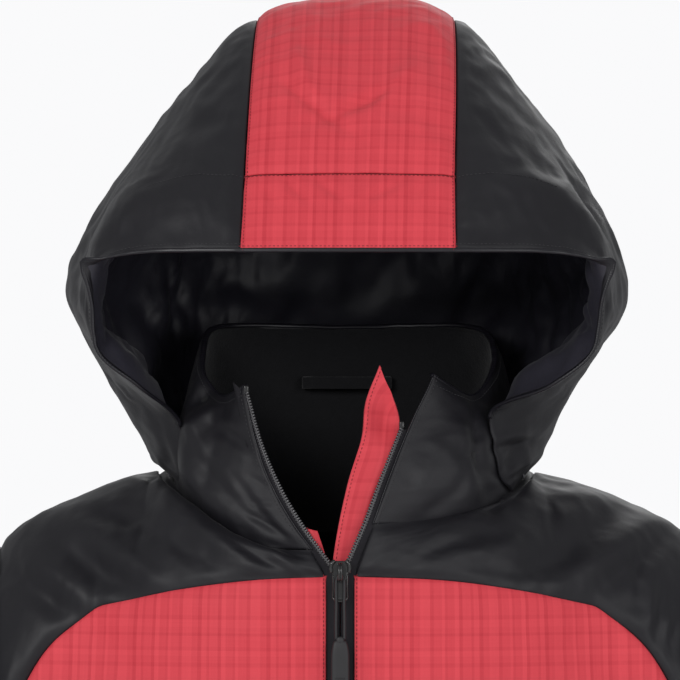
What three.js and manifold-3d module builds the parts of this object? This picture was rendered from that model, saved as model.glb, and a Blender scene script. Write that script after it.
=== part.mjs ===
// Hooded ski jacket, size M, standing as it does when worn: hood up, front zip open to the upper chest.
// Millimetres, +Z up, the front faces -Y. The origin is the middle of the wearer's neck at shoulder height.
// "right" and "left" are the wearer's: right is -X, left is +X.
import * as THREE from "three";
import { mergeVertices } from "three/addons/utils/BufferGeometryUtils.js";
import Module from "manifold-3d";

const wasm = await Module();
wasm.setup();

// Driving dimensions
const ZIP_X = -4.5; // the front zip runs a little to the wearer's right
const ZIP_Y = -127; // face of the chest panels beside the zip
const ZIP_HALF = 8.5; // from the zip's middle to the edge of a chest panel
const SLIDER_Z = -64; // slider, at rest
const HEM_Z = -714;
const SHELL = 4; // padded outer panel
const HOOD_SHELL = 3;
const LINING = 1;
const LINING_DEPTH = 12; // outer face of a panel to its lining, with the padding between
const BAG_DEPTH = 7;
const SEAM = 2.4; // half of the gap kept at a seam
const ARMHOLE = { x: 229, y: 5, z: -176, height: 126, depth: 88, lean: 3 };
const CORD_R = 1.1;
const RIGHT = -1;
const LEFT = 1;
const SIDES = [[RIGHT, "right"], [LEFT, "left"]];

const RED = 0xce484e;
const BLACK = 0x242327;
const DARK = 0x131318;

const part = new THREE.Group();

function paint(colour, roughness, metalness = 0) {
  return new THREE.MeshStandardMaterial({ color: colour, roughness, metalness });
}

const shellRed = () => paint(RED, 0.7);
const shellBlack = () => paint(BLACK, 0.55);
const liningCloth = () => paint(DARK, 0.5);
const fleece = () => paint(0x0f0f11, 0.95);
const zipCloth = () => paint(0x18181b, 0.8);
const gunmetal = () => paint(0x2b2c2f, 0.3, 0.9);
const rubber = () => paint(0x1c1c1e, 0.6);

function add(name, geometry, material, parent = part) {
  const mesh = new THREE.Mesh(geometry, material);
  mesh.name = name;
  parent.add(mesh);
  return mesh;
}

// ---------- curves and surfaces ----------

const point = (x, y, z) => new THREE.Vector3(x, y, z);

// A smooth curve through hand-set points, as a function of 0..1.
function curve(list) {
  const path = new THREE.CatmullRomCurve3(list.map(([x, y, z]) => point(x, y, z)));
  return (t) => path.getPoint(THREE.MathUtils.clamp(t, 0, 1));
}

// Two curves end to end, meeting at a corner where t is split.
function joined(first, second, split) {
  return (t) => (t <= split ? first(t / split) : second((t - split) / (1 - split)));
}

// A surface through rows of points: u runs along each row and v from row to row.
function net(rows) {
  const rowCurves = rows.map((row) => curve(row));
  return (u, v) => {
    const across = new THREE.CatmullRomCurve3(rowCurves.map((row) => row(u)));
    return across.getPoint(THREE.MathUtils.clamp(v, 0, 1));
  };
}

// The panel that fills four seam curves (a Coons patch): u along top and bottom, v along the two sides.
function panel(top, bottom, start, end) {
  return (u, v) => {
    const ruled = top(u).lerp(bottom(u), v);
    const across = start(v).lerp(end(v), u);
    const corners = top(0).lerp(top(1), u).lerp(bottom(0).lerp(bottom(1), u), v);
    return ruled.add(across).sub(corners);
  };
}

const mirrored = (surface) => (u, v) => {
  const p = surface(u, v);
  return point(-p.x, p.y, p.z);
};

// Both halves of a symmetrical surface, u running from -1 on the right to 1 on the left.
const bothHalves = (surface) => (u, v) => (u < 0 ? mirrored(surface)(-u, v) : surface(u, v));

function normalOf(surface, u, v, box) {
  const du = (box.u1 - box.u0) / 400;
  const dv = (box.v1 - box.v0) / 400;
  const alongU = surface(u + du, v).sub(surface(u - du, v));
  const alongV = surface(u, v + dv).sub(surface(u, v - dv));
  return alongU.cross(alongV).normalize().multiplyScalar(box.out);
}

function closedMesh(positions, index) {
  const geometry = new THREE.BufferGeometry();
  geometry.setAttribute("position", new THREE.Float32BufferAttribute(positions, 3));
  geometry.setIndex(index);
  geometry.computeVertexNormals();
  return geometry;
}

// A sheet with thickness: the surface between box.u0..u1 and box.v0..v1, from depth box.from to box.to below
// its face. box.out is 1 or -1 and turns the normal outwards. A wrapped sheet closes on itself along u.
function sheet(surface, box) {
  const columns = box.wrap ? box.nu : box.nu + 1;
  const rows = box.nv + 1;
  const positions = [];
  for (const depth of [box.from, box.to]) {
    for (let j = 0; j < rows; j += 1) {
      for (let i = 0; i < columns; i += 1) {
        const u = box.u0 + ((box.u1 - box.u0) * i) / box.nu;
        const v = box.v0 + ((box.v1 - box.v0) * j) / box.nv;
        const p = surface(u, v).addScaledVector(normalOf(surface, u, v, box), -depth);
        positions.push(p.x, p.y, p.z);
      }
    }
  }
  const at = (layer, i, j) => layer * rows * columns + j * columns + (i % columns);
  const index = [];
  const quad = (a, b, c, d) => (box.out > 0 ? index.push(a, b, c, a, c, d) : index.push(a, c, b, a, d, c));
  for (let j = 0; j < box.nv; j += 1) {
    for (let i = 0; i < box.nu; i += 1) {
      quad(at(0, i, j), at(0, i + 1, j), at(0, i + 1, j + 1), at(0, i, j + 1));
      quad(at(1, i, j), at(1, i, j + 1), at(1, i + 1, j + 1), at(1, i + 1, j));
    }
  }
  for (let i = 0; i < box.nu; i += 1) {
    quad(at(0, i, 0), at(1, i, 0), at(1, i + 1, 0), at(0, i + 1, 0));
    quad(at(0, i, box.nv), at(0, i + 1, box.nv), at(1, i + 1, box.nv), at(1, i, box.nv));
  }
  for (let j = 0; j < box.nv && !box.wrap; j += 1) {
    quad(at(0, 0, j), at(0, 0, j + 1), at(1, 0, j + 1), at(1, 0, j));
    quad(at(0, box.nu, j), at(1, box.nu, j), at(1, box.nu, j + 1), at(0, box.nu, j + 1));
  }
  return closedMesh(positions, index);
}

// The same sheet with its four edges drawn in by the seam gap.
function sewnSheet(surface, box) {
  const middleU = (box.u0 + box.u1) / 2;
  const middleV = (box.v0 + box.v1) / 2;
  const length = (p) => {
    let sum = 0;
    for (let i = 0; i < 12; i += 1) sum += p(i / 12).distanceTo(p((i + 1) / 12));
    return sum;
  };
  const width = length((t) => surface(box.u0 + (box.u1 - box.u0) * t, middleV));
  const height = length((t) => surface(middleU, box.v0 + (box.v1 - box.v0) * t));
  const gap = box.gap ?? SEAM;
  const du = ((box.u1 - box.u0) * gap) / width;
  const dv = ((box.v1 - box.v0) * gap) / height;
  return sheet(surface, { ...box, u0: box.u0 + du, u1: box.u1 - du, v0: box.v0 + dv, v1: box.v1 - dv });
}

// ---------- solids for the hardware ----------

function solidOf(geometry) {
  const bare = geometry.clone();
  bare.deleteAttribute("normal");
  bare.deleteAttribute("uv");
  const merged = mergeVertices(bare, 1e-4);
  return new wasm.Manifold(
    new wasm.Mesh({
      numProp: 3,
      vertProperties: new Float32Array(merged.attributes.position.array),
      triVerts: new Uint32Array(merged.index.array),
    }),
  );
}

function union(...geometries) {
  const joinedSolid = geometries.map(solidOf).reduce((whole, next) => whole.add(next));
  const mesh = joinedSolid.getMesh();
  return closedMesh(Array.from(mesh.vertProperties), Array.from(mesh.triVerts));
}

function block(width, depth, height, x, y, z) {
  return new THREE.BoxGeometry(width, depth, height).translate(x, y, z);
}

// A flat plate standing in the XZ plane with round ends, its middle at x, y, z.
function plate(width, height, thick, x, y, z, radius = width / 2, hole = null) {
  const w = width / 2 - radius;
  const h = height / 2 - radius;
  const shape = new THREE.Shape();
  shape.absarc(w, h, radius, 0, Math.PI / 2);
  shape.absarc(-w, h, radius, Math.PI / 2, Math.PI);
  shape.absarc(-w, -h, radius, Math.PI, Math.PI * 1.5);
  shape.absarc(w, -h, radius, Math.PI * 1.5, Math.PI * 2);
  if (hole) {
    const { width: a, low, high } = hole;
    const slot = [[-a, low], [-a, high], [a, high], [a, low]].map(([p, q]) => new THREE.Vector2(p, q));
    shape.holes.push(new THREE.Path(slot));
  }
  const geometry = new THREE.ExtrudeGeometry(shape, { depth: thick, bevelEnabled: false, curveSegments: 6 });
  return geometry.translate(0, 0, -thick / 2).rotateX(Math.PI / 2).translate(x, y, z);
}

const smoothPath = (list) => new THREE.CatmullRomCurve3(list.map((p) => point(...p)), false, "centripetal");

function roundBar(path, radius, sides, steps) {
  const shape = new THREE.Shape().absarc(0, 0, radius, 0, Math.PI * 2);
  const sweep = { steps, extrudePath: path, bevelEnabled: false, curveSegments: sides };
  return new THREE.ExtrudeGeometry(shape, sweep);
}

// ---------- body seams ----------

// A point of the armhole: 0 at the shoulder tip, 90 at the front, 180 at the armpit.
function armhole(degrees) {
  const a = THREE.MathUtils.degToRad(degrees);
  const c = Math.cos(a);
  return [
    ARMHOLE.x + ARMHOLE.lean * c,
    ARMHOLE.y + ARMHOLE.lean * c - ARMHOLE.depth * Math.sin(a),
    ARMHOLE.z + ARMHOLE.height * c,
  ];
}

const armholeCurve = (from, to) => (t) => point(...armhole(from + (to - from) * t));
const SHOULDER = [[124, 5, 0], [150, 7, -7], [181, 8, -20], [209, 8, -33], armhole(0)];
const SIDE_SEAM = [armhole(180), [229, 3, -420], [231, 4, -570], [232, 4, HEM_Z - 10]];
const NECK_FRONT = {
  [RIGHT]: [[27, -121, -50], [68, -104, -42], [105, -68, -19], [121, -30, -6], [124, 5, 0]],
  [LEFT]: [[21, -119, -33], [75, -98, -25], [104, -68, -16], [121, -30, -5], [124, 5, 0]],
};
// The open V of the front, from the slider up: the cloth's edge, and the zip's coil beside it.
const OPEN_EDGE = {
  [RIGHT]: [
    [-13, -127, -66], [-27, -121, -50], [-38.5, -117, -34],
    [-50.7, -113, -13.5], [-62.6, -106, 15.6], [-71, -98, 54],
  ],
  [LEFT]: [[4, -127, -66], [12, -123, -50], [21, -119, -33], [29.5, -113, -6], [43, -105, 27], [59, -96, 61]],
};
const OPEN_COIL = {
  [RIGHT]: [
    [-6.3, -124.5, -66], [-18.4, -120, -50], [-30, -115, -34],
    [-43, -111, -12], [-55.6, -104, 17], [-65, -96.5, 50],
  ],
  [LEFT]: [[-2.7, -124.5, -66], [4, -121, -51], [12, -117, -33], [22, -111, -6], [35, -104, 27]],
};
const COLLAR_FOOT = { [RIGHT]: 1, [LEFT]: 2 }; // where the collar starts on OPEN_EDGE

// Front panels are written for +X and mirrored for the right, so the zip's offset changes sign.
const panelEdge = (side) => ZIP_HALF + side * ZIP_X;

// From the zip along the chest to a corner, and down to the armhole.
function chestSeam(edge) {
  return joined(
    curve([[edge, ZIP_Y, -66], [60, -127, -68], [112, -114, -75], [162, -93, -86]]),
    curve([[162, -93, -86], [196, -88, -116], armhole(92)]),
    0.6,
  );
}

function frontYoke(side) {
  const edge = panelEdge(side);
  const neck = joined(curve(NECK_FRONT[side]), curve(SHOULDER), 0.5);
  const start = curve([NECK_FRONT[side][0], [edge, ZIP_Y, -66]]);
  return panel(neck, chestSeam(edge), start, armholeCurve(0, 92));
}

function frontPanel(side) {
  const edge = panelEdge(side);
  const top = joined(chestSeam(edge), armholeCurve(92, 180), 5 / 7);
  const hem = curve([
    [edge, ZIP_Y, HEM_Z], [60, -127, HEM_Z], [112, -114, HEM_Z], [160, -94, HEM_Z - 2],
    [193, -74, HEM_Z - 4], [216, -50, HEM_Z - 6], [229, -24, HEM_Z - 8], [232, 4, HEM_Z - 10],
  ]);
  return panel(top, hem, curve([[edge, ZIP_Y, -66], [edge, ZIP_Y, HEM_Z]]), curve(SIDE_SEAM));
}

const NECK_BACK = [[0, 76, 15], [65, 68, 13], [110, 45, 7], [124, 5, 0]];
const BACK_YOKE_SEAM = [[0, 125, -130], [100, 120, -134], [165, 103, -147]];

const backSeam = curve([...BACK_YOKE_SEAM, armhole(-92)]);

const backYokeHalf = panel(
  joined(curve(NECK_BACK), curve(SHOULDER), 0.5),
  backSeam,
  curve([[0, 76, 15], [0, 101, -40], [0, 119, -90], [0, 125, -130]]),
  armholeCurve(0, -92),
);

const backPanelHalf = panel(
  joined(backSeam, armholeCurve(-92, -180), 0.6),
  curve([
    [0, 128, HEM_Z - 16], [90, 124, HEM_Z - 16], [150, 106, HEM_Z - 15],
    [195, 78, HEM_Z - 13], [222, 42, HEM_Z - 11], [232, 4, HEM_Z - 10],
  ]),
  curve([[0, 125, -130], [0, 132, -260], [0, 130, -460], [0, 128, HEM_Z - 16]]),
  curve(SIDE_SEAM),
);

const surfaceFor = (build, side) => (side === LEFT ? build(side) : mirrored(build(side)));
const yokeBack = bothHalves(backYokeHalf);
const backPanel = bothHalves(backPanelHalf);
const HEM_START = 0.955; // share of a panel's height where the hem band begins

const bodyNet = { u0: 0, u1: 1, v0: 0, v1: HEM_START, nu: 14, nv: 8 };
const liningNet = { from: LINING_DEPTH, to: LINING_DEPTH + LINING, nv: 5, gap: 9 };

function addBody() {
  for (const [side, word] of SIDES) {
    const out = -side;
    const front = surfaceFor(frontPanel, side);
    const yoke = surfaceFor(frontYoke, side);
    add(`front_panel_${word}`, sewnSheet(front, { ...bodyNet, out, from: 0, to: SHELL }), shellRed());
    const yokeArea = { ...bodyNet, v1: 1, nv: 5, out, from: 0, to: SHELL };
    add(`yoke_front_${word}`, sewnSheet(yoke, yokeArea), shellBlack());
    const inner = { ...bodyNet, ...liningNet, out };
    add(`front_lining_${word}`, sewnSheet(front, inner), liningCloth());
  }
  const whole = { ...bodyNet, u0: -1, nu: 22, out: 1, from: 0, to: SHELL };
  add("back_panel", sewnSheet(backPanel, whole), shellRed());
  add("yoke_back", sewnSheet(yokeBack, { ...whole, v1: 1, nv: 5 }), shellBlack());
  const inner = { ...whole, ...liningNet };
  add("back_lining", sewnSheet(backPanel, inner), liningCloth());
}

// One band round the hem, from one side of the zip to the other.
function addHem() {
  const frontRight = surfaceFor(frontPanel, RIGHT);
  const frontLeft = surfaceFor(frontPanel, LEFT);
  const row = (v) => {
    const list = [];
    for (let i = 0; i < 7; i += 1) list.push(frontRight(i / 7, v).toArray());
    for (let i = -6; i <= 6; i += 1) list.push(backPanel(-i / -6, v).toArray());
    for (let i = 6; i >= 0; i -= 1) list.push(frontLeft(i / 7, v).toArray());
    return list;
  };
  const band = net([row(HEM_START), row((HEM_START + 1) / 2), row(1)]);
  const whole = { u0: 0, u1: 1, v0: 0, v1: 1, nu: 30, nv: 1, out: 1, from: 0, to: SHELL };
  add("hem_band", sewnSheet(band, whole), shellBlack());
}

// An elastic gaiter inside the lower body.
function addPowderSkirt() {
  const ring = (u, v) => {
    const a = u * Math.PI * 2;
    const narrow = 26 + 10 * v;
    return point((229 - narrow) * Math.sin(a), 2 - (128 - narrow) * Math.cos(a), -560 - 78 * v);
  };
  const box = { u0: 0, u1: 1, v0: 0, v1: 1, nu: 32, nv: 2, out: 1, from: 0, to: 1.5, wrap: true };
  add("powder_skirt", sheet(ring, box), liningCloth());
}

// ---------- sleeves ----------

const SLEEVE_TOP = [
  armhole(0), [266, 7, -74], [306, 6, -124], [342, 5, -200], [366, 3, -290],
  [385, 0, -375], [400, -6, -460], [413, -14, -550], [428, -20, -630], [434, -22, -668],
];
const SLEEVE_UNDER = [
  armhole(180), [234, 1, -328], [240, 0, -352], [246, -1, -378], [254, -2, -410],
  [264, -5, -445], [278, -10, -497], [303, -16, -577], [330, -22, -653], [337, -24, -690],
];
const SLEEVE_DEPTH = [88, 84, 78, 74, 71, 69, 65, 60, 54, 50];
const CUFF_START = 8 / 9;

// u goes round the sleeve in turns: 0 at the top, 0.25 at the front, 0.5 underneath.
const sleeveTop = curve(SLEEVE_TOP);
const sleeveUnder = curve(SLEEVE_UNDER);
const sleeveDepth = curve(SLEEVE_DEPTH.map((d) => [d, 0, 0]));

function sleeve(u, v) {
  const a = u * Math.PI * 2;
  const outer = sleeveTop(v);
  const inner = sleeveUnder(v);
  const middle = outer.clone().add(inner).multiplyScalar(0.5);
  const half = outer.sub(inner).multiplyScalar(0.5);
  return middle.addScaledVector(half, Math.cos(a)).add(point(0, -sleeveDepth(v).x * Math.sin(a), 0));
}

const FRONT_ARM_SEAM = 0.28;
const TAB = { from: 0.06, to: 0.27, low: 0.915, high: 0.985 };

function addSleeves() {
  for (const [side, word] of SIDES) {
    const arm = side === LEFT ? sleeve : mirrored(sleeve);
    const shell = { v0: 0.01, v1: CUFF_START, nv: 11, out: side, from: 0, to: SHELL };
    const over = { ...shell, u0: -FRONT_ARM_SEAM, u1: FRONT_ARM_SEAM, nu: 9 };
    const under = { ...shell, u0: FRONT_ARM_SEAM, u1: 1 - FRONT_ARM_SEAM, nu: 9 };
    add(`sleeve_outer_${word}`, sewnSheet(arm, over), shellBlack());
    add(`sleeve_under_${word}`, sewnSheet(arm, under), shellBlack());
    const round = { u0: 0, u1: 1, wrap: true, out: side };
    const depth = { from: LINING_DEPTH, to: LINING_DEPTH + LINING };
    const inner = { ...round, ...depth, v0: 0.03, v1: 0.87, nu: 14, nv: 8 };
    add(`sleeve_lining_${word}`, sheet(arm, inner), liningCloth());
    const band = { ...round, v0: CUFF_START + 0.006, v1: 1, nu: 20, nv: 2, from: 0, to: SHELL };
    add(`cuff_band_${word}`, sheet(arm, band), shellBlack());
    const gaiter = { ...round, v0: 0.885, v1: 0.99, nu: 14, nv: 2, from: 11, to: 12.5 };
    add(`cuff_gaiter_${word}`, sheet(arm, gaiter), fleece());
    const tabArea = { u0: TAB.from, u1: TAB.to, v0: TAB.low, v1: TAB.high, nu: 6, nv: 1 };
    const tab = { ...tabArea, out: side, from: -3, to: -0.8 };
    add(`cuff_tab_${word}`, sheet(arm, tab), rubber());
  }
}

// ---------- hood ----------

// Rows from the peak's edge over the crown to the neck seam. Each runs from the middle out to the edge of
// the face opening; the last points of the lower rows follow in HOOD_FRONT, behind the collar's wings.
const HOOD_ROWS = [
  [[0, -153, 143], [69, -151, 143], [98, -147, 143], [126, -141, 143], [150, -132, 141], [170, -121, 136]],
  [[0, -124, 193], [68, -122, 192], [108, -115, 190], [142, -104, 176], [163, -98, 146], [166, -121, 108]],
  [[0, -70, 262], [68, -68, 257], [108, -62, 226], [146, -56, 176], [174, -68, 124], [161, -119, 76]],
  [[0, 5, 311], [67, 5, 298], [108, 2, 250], [152, -5, 188], [182, -20, 120], [134, -113, 53]],
  [[0, 85, 296], [66, 84, 284], [104, 72, 240], [146, 52, 172], [170, 8, 88]],
  [[0, 134, 220], [64, 131, 213], [100, 114, 182], [134, 82, 128], [154, 20, 60]],
  [[0, 132, 115], [63, 127, 112], [96, 108, 98], [122, 75, 70], [137, 14, 28]],
  [[0, 80, 14], [64, 72, 13], [97, 57, 10], [119, 32, 6], [127, 0, 1]],
];
const HOOD_FRONT = {
  [RIGHT]: [[-111, -64, 29], [-110, -62, 10], [-110, -60, -3], [-112, -56, -9]],
  [LEFT]: [[97, -80, 35], [99, -74, 12], [104, -66, -4], [112, -56, -9]],
};

// One row of the hood from the right edge to the left.
function wholeRow(half, i) {
  const front = i - (HOOD_ROWS.length - HOOD_FRONT[LEFT].length);
  const right = half.slice(1).map(([x, y, z]) => [-x, y, z]);
  const left = half.slice(1);
  if (front >= 0) {
    right.push(HOOD_FRONT[RIGHT][front]);
    left.push(HOOD_FRONT[LEFT][front]);
  }
  return [...right.reverse(), half[0], ...left];
}

const hoodNet = net(HOOD_ROWS.map(wholeRow));
const hood = (u, v) => hoodNet((u + 1) / 2, v);
const PANEL_SEAM = 0.2; // u of the seam between the centre panel and a side panel
const PEAK_SEAM = 1 / 7; // v of the cross seam above the peak

function addHood() {
  const shell = { out: 1, from: 0, to: HOOD_SHELL, gap: 1.6 };
  const centre = { ...shell, u0: -PANEL_SEAM, u1: PANEL_SEAM, nu: 4 };
  add("hood_peak_panel", sewnSheet(hood, { ...centre, v0: 0, v1: PEAK_SEAM, nv: 2 }), shellRed());
  add("hood_centre_panel", sewnSheet(hood, { ...centre, v0: PEAK_SEAM, v1: 1, nv: 14 }), shellRed());
  for (const [side, word] of SIDES) {
    const span = side === LEFT ? { u0: PANEL_SEAM, u1: 1 } : { u0: -1, u1: -PANEL_SEAM };
    const half = { ...shell, ...span, v0: 0, v1: 1, nu: 8, nv: 14 };
    add(`hood_side_${word}`, sewnSheet(hood, half), shellBlack());
  }
  const insert = { out: 1, u0: -0.5, u1: 0.5, v0: 0.02, v1: 0.12, nu: 10, nv: 2, from: 5, to: 6 };
  add("hood_peak_stiffener", sheet(hood, insert), paint(0x303034, 0.6));
  // The lining draws in from the edge below the cheeks, where the collar stands inside the hood.
  const reach = (v) => 0.98 - 0.4 * THREE.MathUtils.smoothstep(v, 0.42, 0.66);
  const inside = (u, v) => hood(u * reach(v), v);
  const lining = { out: 1, u0: -1, u1: 1, v0: 0.015, v1: 0.86, nu: 18, nv: 11, from: 9, to: 10 };
  add("hood_lining", sheet(inside, lining), liningCloth());
}

// ---------- collar and front closure ----------

const COLLAR_BASE = [
  [-27, -121, -50], [-64, -97, -39], [-95, -62, -15], [-108, -28, 0], [-110, 5, 6], [-98, 38, 13],
  [-58, 57, 18], [0, 64, 20], [58, 57, 18], [98, 38, 13], [110, 5, 6], [108, -28, -1],
  [95, -62, -12], [70, -91, -22], [21, -119, -33],
];
const COLLAR_TOP = [
  [-71, -98, 54], [-84, -68, 49], [-96, -38, 66], [-98, -5, 82], [-94, 20, 92], [-79, 38, 95],
  [-45, 50, 95], [0, 55, 94], [45, 50, 95], [79, 38, 95], [96, 20, 90], [101, -5, 78],
  [97, -38, 62], [82, -66, 50], [59, -96, 61],
];

const COLLAR_BULGE = { 1: [-3, -6, 0], 2: [-5, -14, 0], 12: [-3, -3, 0], 13: [5, -12, 0] };

// The collar at height t of its own, its front panels puffed out at mid height and its front ends drawn to
// the edges of the open V.
function collarRow(t) {
  const row = COLLAR_BASE.map((p, i) => point(...p).lerp(point(...COLLAR_TOP[i]), t));
  for (const [i, push] of Object.entries(COLLAR_BULGE)) {
    row[i].addScaledVector(point(...push), 4 * t * (1 - t));
  }
  for (const [side, end, next] of [[RIGHT, 0, 1], [LEFT, row.length - 1, row.length - 2]]) {
    const edge = curve(OPEN_EDGE[side].slice(COLLAR_FOOT[side]))(t);
    row[next].addScaledVector(edge.clone().sub(row[end]), 0.5);
    row[end].copy(edge);
  }
  return row.map((p) => p.toArray());
}

const collar = net([0, 1 / 3, 2 / 3, 1].map(collarRow));

function addCollar() {
  const around = { u0: 0, u1: 1, v0: 0, v1: 1, nu: 28, nv: 3, out: 1 };
  add("collar_shell", sewnSheet(collar, { ...around, from: 0, to: 3 }), shellBlack());
  add("collar_lining", sewnSheet(collar, { ...around, from: 3.5, to: 6 }), fleece());
}

const COIL_R = 1.2;
const COIL_IN = 1.8; // from the zip's middle to the middle of a coil, where it is closed
const TAPE_TURN = 0.6; // share of the zip's path that is the straight, closed part

class Route extends THREE.Curve {
  constructor(place) {
    super();
    this.place = place;
  }

  getPoint(t) {
    return this.place(t);
  }

  // Steps follow the route's own parameter, so one falls on the turn at the slider.
  getUtoTmapping(t) {
    return t;
  }
}

// Half of the zip: straight from the hem to the slider, then along one side of the open V.
function zipHalf(foot, open) {
  const low = curve([[foot, ZIP_Y + 2.5, HEM_Z + 12], open[0]]);
  return joined(low, curve(open), TAPE_TURN);
}

function addZip() {
  for (const [side, word] of SIDES) {
    const coil = zipHalf(ZIP_X + side * COIL_IN, OPEN_COIL[side]);
    const cloth = OPEN_EDGE[side].slice(0, OPEN_COIL[side].length).map(([x, y, z]) => [x, y + 2.5, z]);
    const edge = zipHalf(ZIP_X + side * ZIP_HALF, cloth);
    const tape = (u, v) => coil(v).lerp(edge(v), 0.36 + 0.44 * u);
    const box = { u0: 0, u1: 1, v0: 0, v1: 1, nu: 1, nv: 20, out: -side, from: -0.4, to: 0.4 };
    add(`zip_tape_${word}`, sheet(tape, box), zipCloth());
    add(`zip_coil_${word}`, roundBar(new Route(coil), COIL_R, 3, 30), rubber());
    const end = coil(1);
    add(`zip_top_stop_${word}`, block(3, 3.2, 4, end.x, end.y, end.z + 3.6), gunmetal());
  }
  add("zip_bottom_box", block(9, 4, 9, ZIP_X, ZIP_Y + 2.5, HEM_Z + 5.5), gunmetal());
}

// A slider: two plates joined by a thin post that runs between the halves of the zip, and an arch in front
// that the pull hangs on. The outer face of the zip is at y = 0 and the slider's middle at z = 0.
function slider(width, height, gapDepth, drop) {
  const face = -1.6;
  const front = plate(width, height, 1.8, 0, face - 0.9, -drop, width / 2.6);
  const rear = plate(width, height * 0.9, 1.4, 0, gapDepth + 0.7, -drop, width / 2.6);
  const post = block(0.8, gapDepth - face + 1, 3, 0, (gapDepth + face) / 2, height / 2 - 3 - drop);
  const out = face - 1.4;
  const reach = out - 5.4;
  const arch = [
    [0, out, 5], [0, out - 3, 5], [0, reach, 2.5],
    [0, reach, -2.5], [0, out - 3, -5], [0, out, -5],
  ];
  return union(front, rear, post, roundBar(smoothPath(arch), 0.9, 3, 12));
}

const PULL_Z = SLIDER_Z; // the cord hangs on the middle of the arch
const PULL_Y = ZIP_Y - 3.6;
const GRIP = { top: -107, height: 36, width: 11, thick: 4.4 };
// One strand up, over and down again
const PULL_ROUTE = [
  [-2.6, 0, GRIP.top + 0.5], [-2.7, 0, -96], [-2.5, 0, -84], [-2.7, 0, -74], [-2.3, 0, PULL_Z - 4.5],
  [0, 0, PULL_Z - 1.4], [2.3, 0, PULL_Z - 4.5], [2.7, 0, -74],
  [2.5, 0, -84], [2.7, 0, -96], [2.6, 0, GRIP.top + 0.5],
].map(([x, y, z]) => [x + ZIP_X, y + PULL_Y - 1.1, z]);

function addSlider() {
  const body = slider(12, 26, 5.2, 5.5).translate(ZIP_X, ZIP_Y + 0.6, SLIDER_Z);
  add("main_zip_slider", body, gunmetal());
  add("main_pull_cord", roundBar(smoothPath(PULL_ROUTE), CORD_R, 4, 36), rubber());
  const middle = GRIP.top - GRIP.height / 2;
  const grip = plate(GRIP.width, GRIP.height, GRIP.thick, ZIP_X, PULL_Y - 1.1, middle, 4.5);
  add("main_pull_grip", grip, rubber());
}

// The red flap behind the left half of the zip, and its narrow partner on the right.
function addFlaps() {
  const flapRows = [
    [[21, -98, 68], [24, -97.6, 60], [29, -98, 50]],
    [[12, -100, 44], [21, -99, 40], [33, -101, 32]],
    [[9.5, -103, 22], [18, -103, 14], [28, -105, 6]],
    [[1, -108, -6], [8, -108, -12], [17, -109, -18]],
    [[-8, -114, -50], [-2, -114, -54], [4, -115, -62]],
    [[-12, -116, -90], [-2, -116, -92], [8, -116, -94]],
    [[-14, -116, HEM_Z / 2], [-2, -116, HEM_Z / 2], [10, -116, HEM_Z / 2]],
    [[-14, -116, HEM_Z + 20], [-2, -116, HEM_Z + 20], [10, -116, HEM_Z + 20]],
  ];
  const box = { u0: 0, u1: 1, v0: 0, v1: 1, nu: 3, nv: 20, out: -1, from: 0, to: 1.6 };
  add("storm_flap", sheet(net(flapRows), box), shellRed());
  const strip = [[[-27, -114, -36], [-19, -113.5, -38]], [[-20, -115, -49], [-14, -115, -53]]];
  add("facing_strip", sheet(net(strip), { ...box, nu: 1, nv: 2, to: 1.2 }), shellRed());
}

// ---------- pockets and loop ----------

const POCKET = { u: 2.75 / 7, top: -402, length: 166, width: 13, slot: 2 };
const LOOP_ROUTE = [[0, -4.4, -13], [0, -7, -13.2], [0, -8.6, -16], [0, -7, -18.8], [0, -4.4, -19]];

function addPockets() {
  for (const [side, word] of SIDES) {
    const front = surfaceFor(frontPanel, side);
    const v = (-66 - POCKET.top) / (-66 - HEM_Z);
    const at = front(POCKET.u, v + 0.12);
    const beside = front(POCKET.u + 0.02, v + 0.12).sub(front(POCKET.u - 0.02, v + 0.12));
    const turn = side * Math.atan2(Math.abs(beside.y), Math.abs(beside.x));
    const place = new THREE.Group();
    place.position.set(at.x, at.y, POCKET.top);
    place.rotation.z = turn;
    part.add(place);
    const half = POCKET.length / 2;
    const hole = { width: POCKET.slot, low: -half + 7, high: half - 7 };
    const welt = plate(POCKET.width, POCKET.length, 1.6, 0, -2, -half, 4, hole);
    add(`pocket_welt_${word}`, welt, zipCloth(), place);
    const runner = union(
      plate(8, 13, 1.4, 0, -4, -16, 3),
      block(2.4, 2.6, 8, 0, -2.4, -16),
      roundBar(smoothPath(LOOP_ROUTE), 0.7, 3, 10),
    );
    add(`pocket_slider_${word}`, runner, gunmetal(), place);
    const tab = plate(8, 34, 1.6, 0, -6.2, -31.6, 2.5, { width: 2.2, low: 10, high: 15 });
    add(`pocket_puller_${word}`, tab, rubber(), place);
    const bagArea = { u0: 0.3, u1: 0.62, v0: v - 0.02, v1: v + 0.36, nu: 5, nv: 4 };
    const bag = { ...bagArea, out: -side, from: BAG_DEPTH, to: BAG_DEPTH + 1.2 };
    add(`pocket_bag_${word}`, sheet(front, bag), liningCloth());
  }
}

// A strap loop sewn inside the back of the neck, for a coat hook. Its underside is flat.
function addHangLoop() {
  const strap = union(
    block(60, 2, 8, 0, 45, 56),
    block(8, 8, 8, -26, 48, 56),
    block(8, 8, 8, 26, 48, 56),
  );
  add("hang_loop", strap, zipCloth());
}

addBody();
addHem();
addPowderSkirt();
addSleeves();
addHood();
addCollar();
addZip();
addSlider();
addFlaps();
addPockets();
addHangLoop();

export default part;
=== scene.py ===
"""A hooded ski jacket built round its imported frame: padded panels, linings, zips, trims and materials."""

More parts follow.
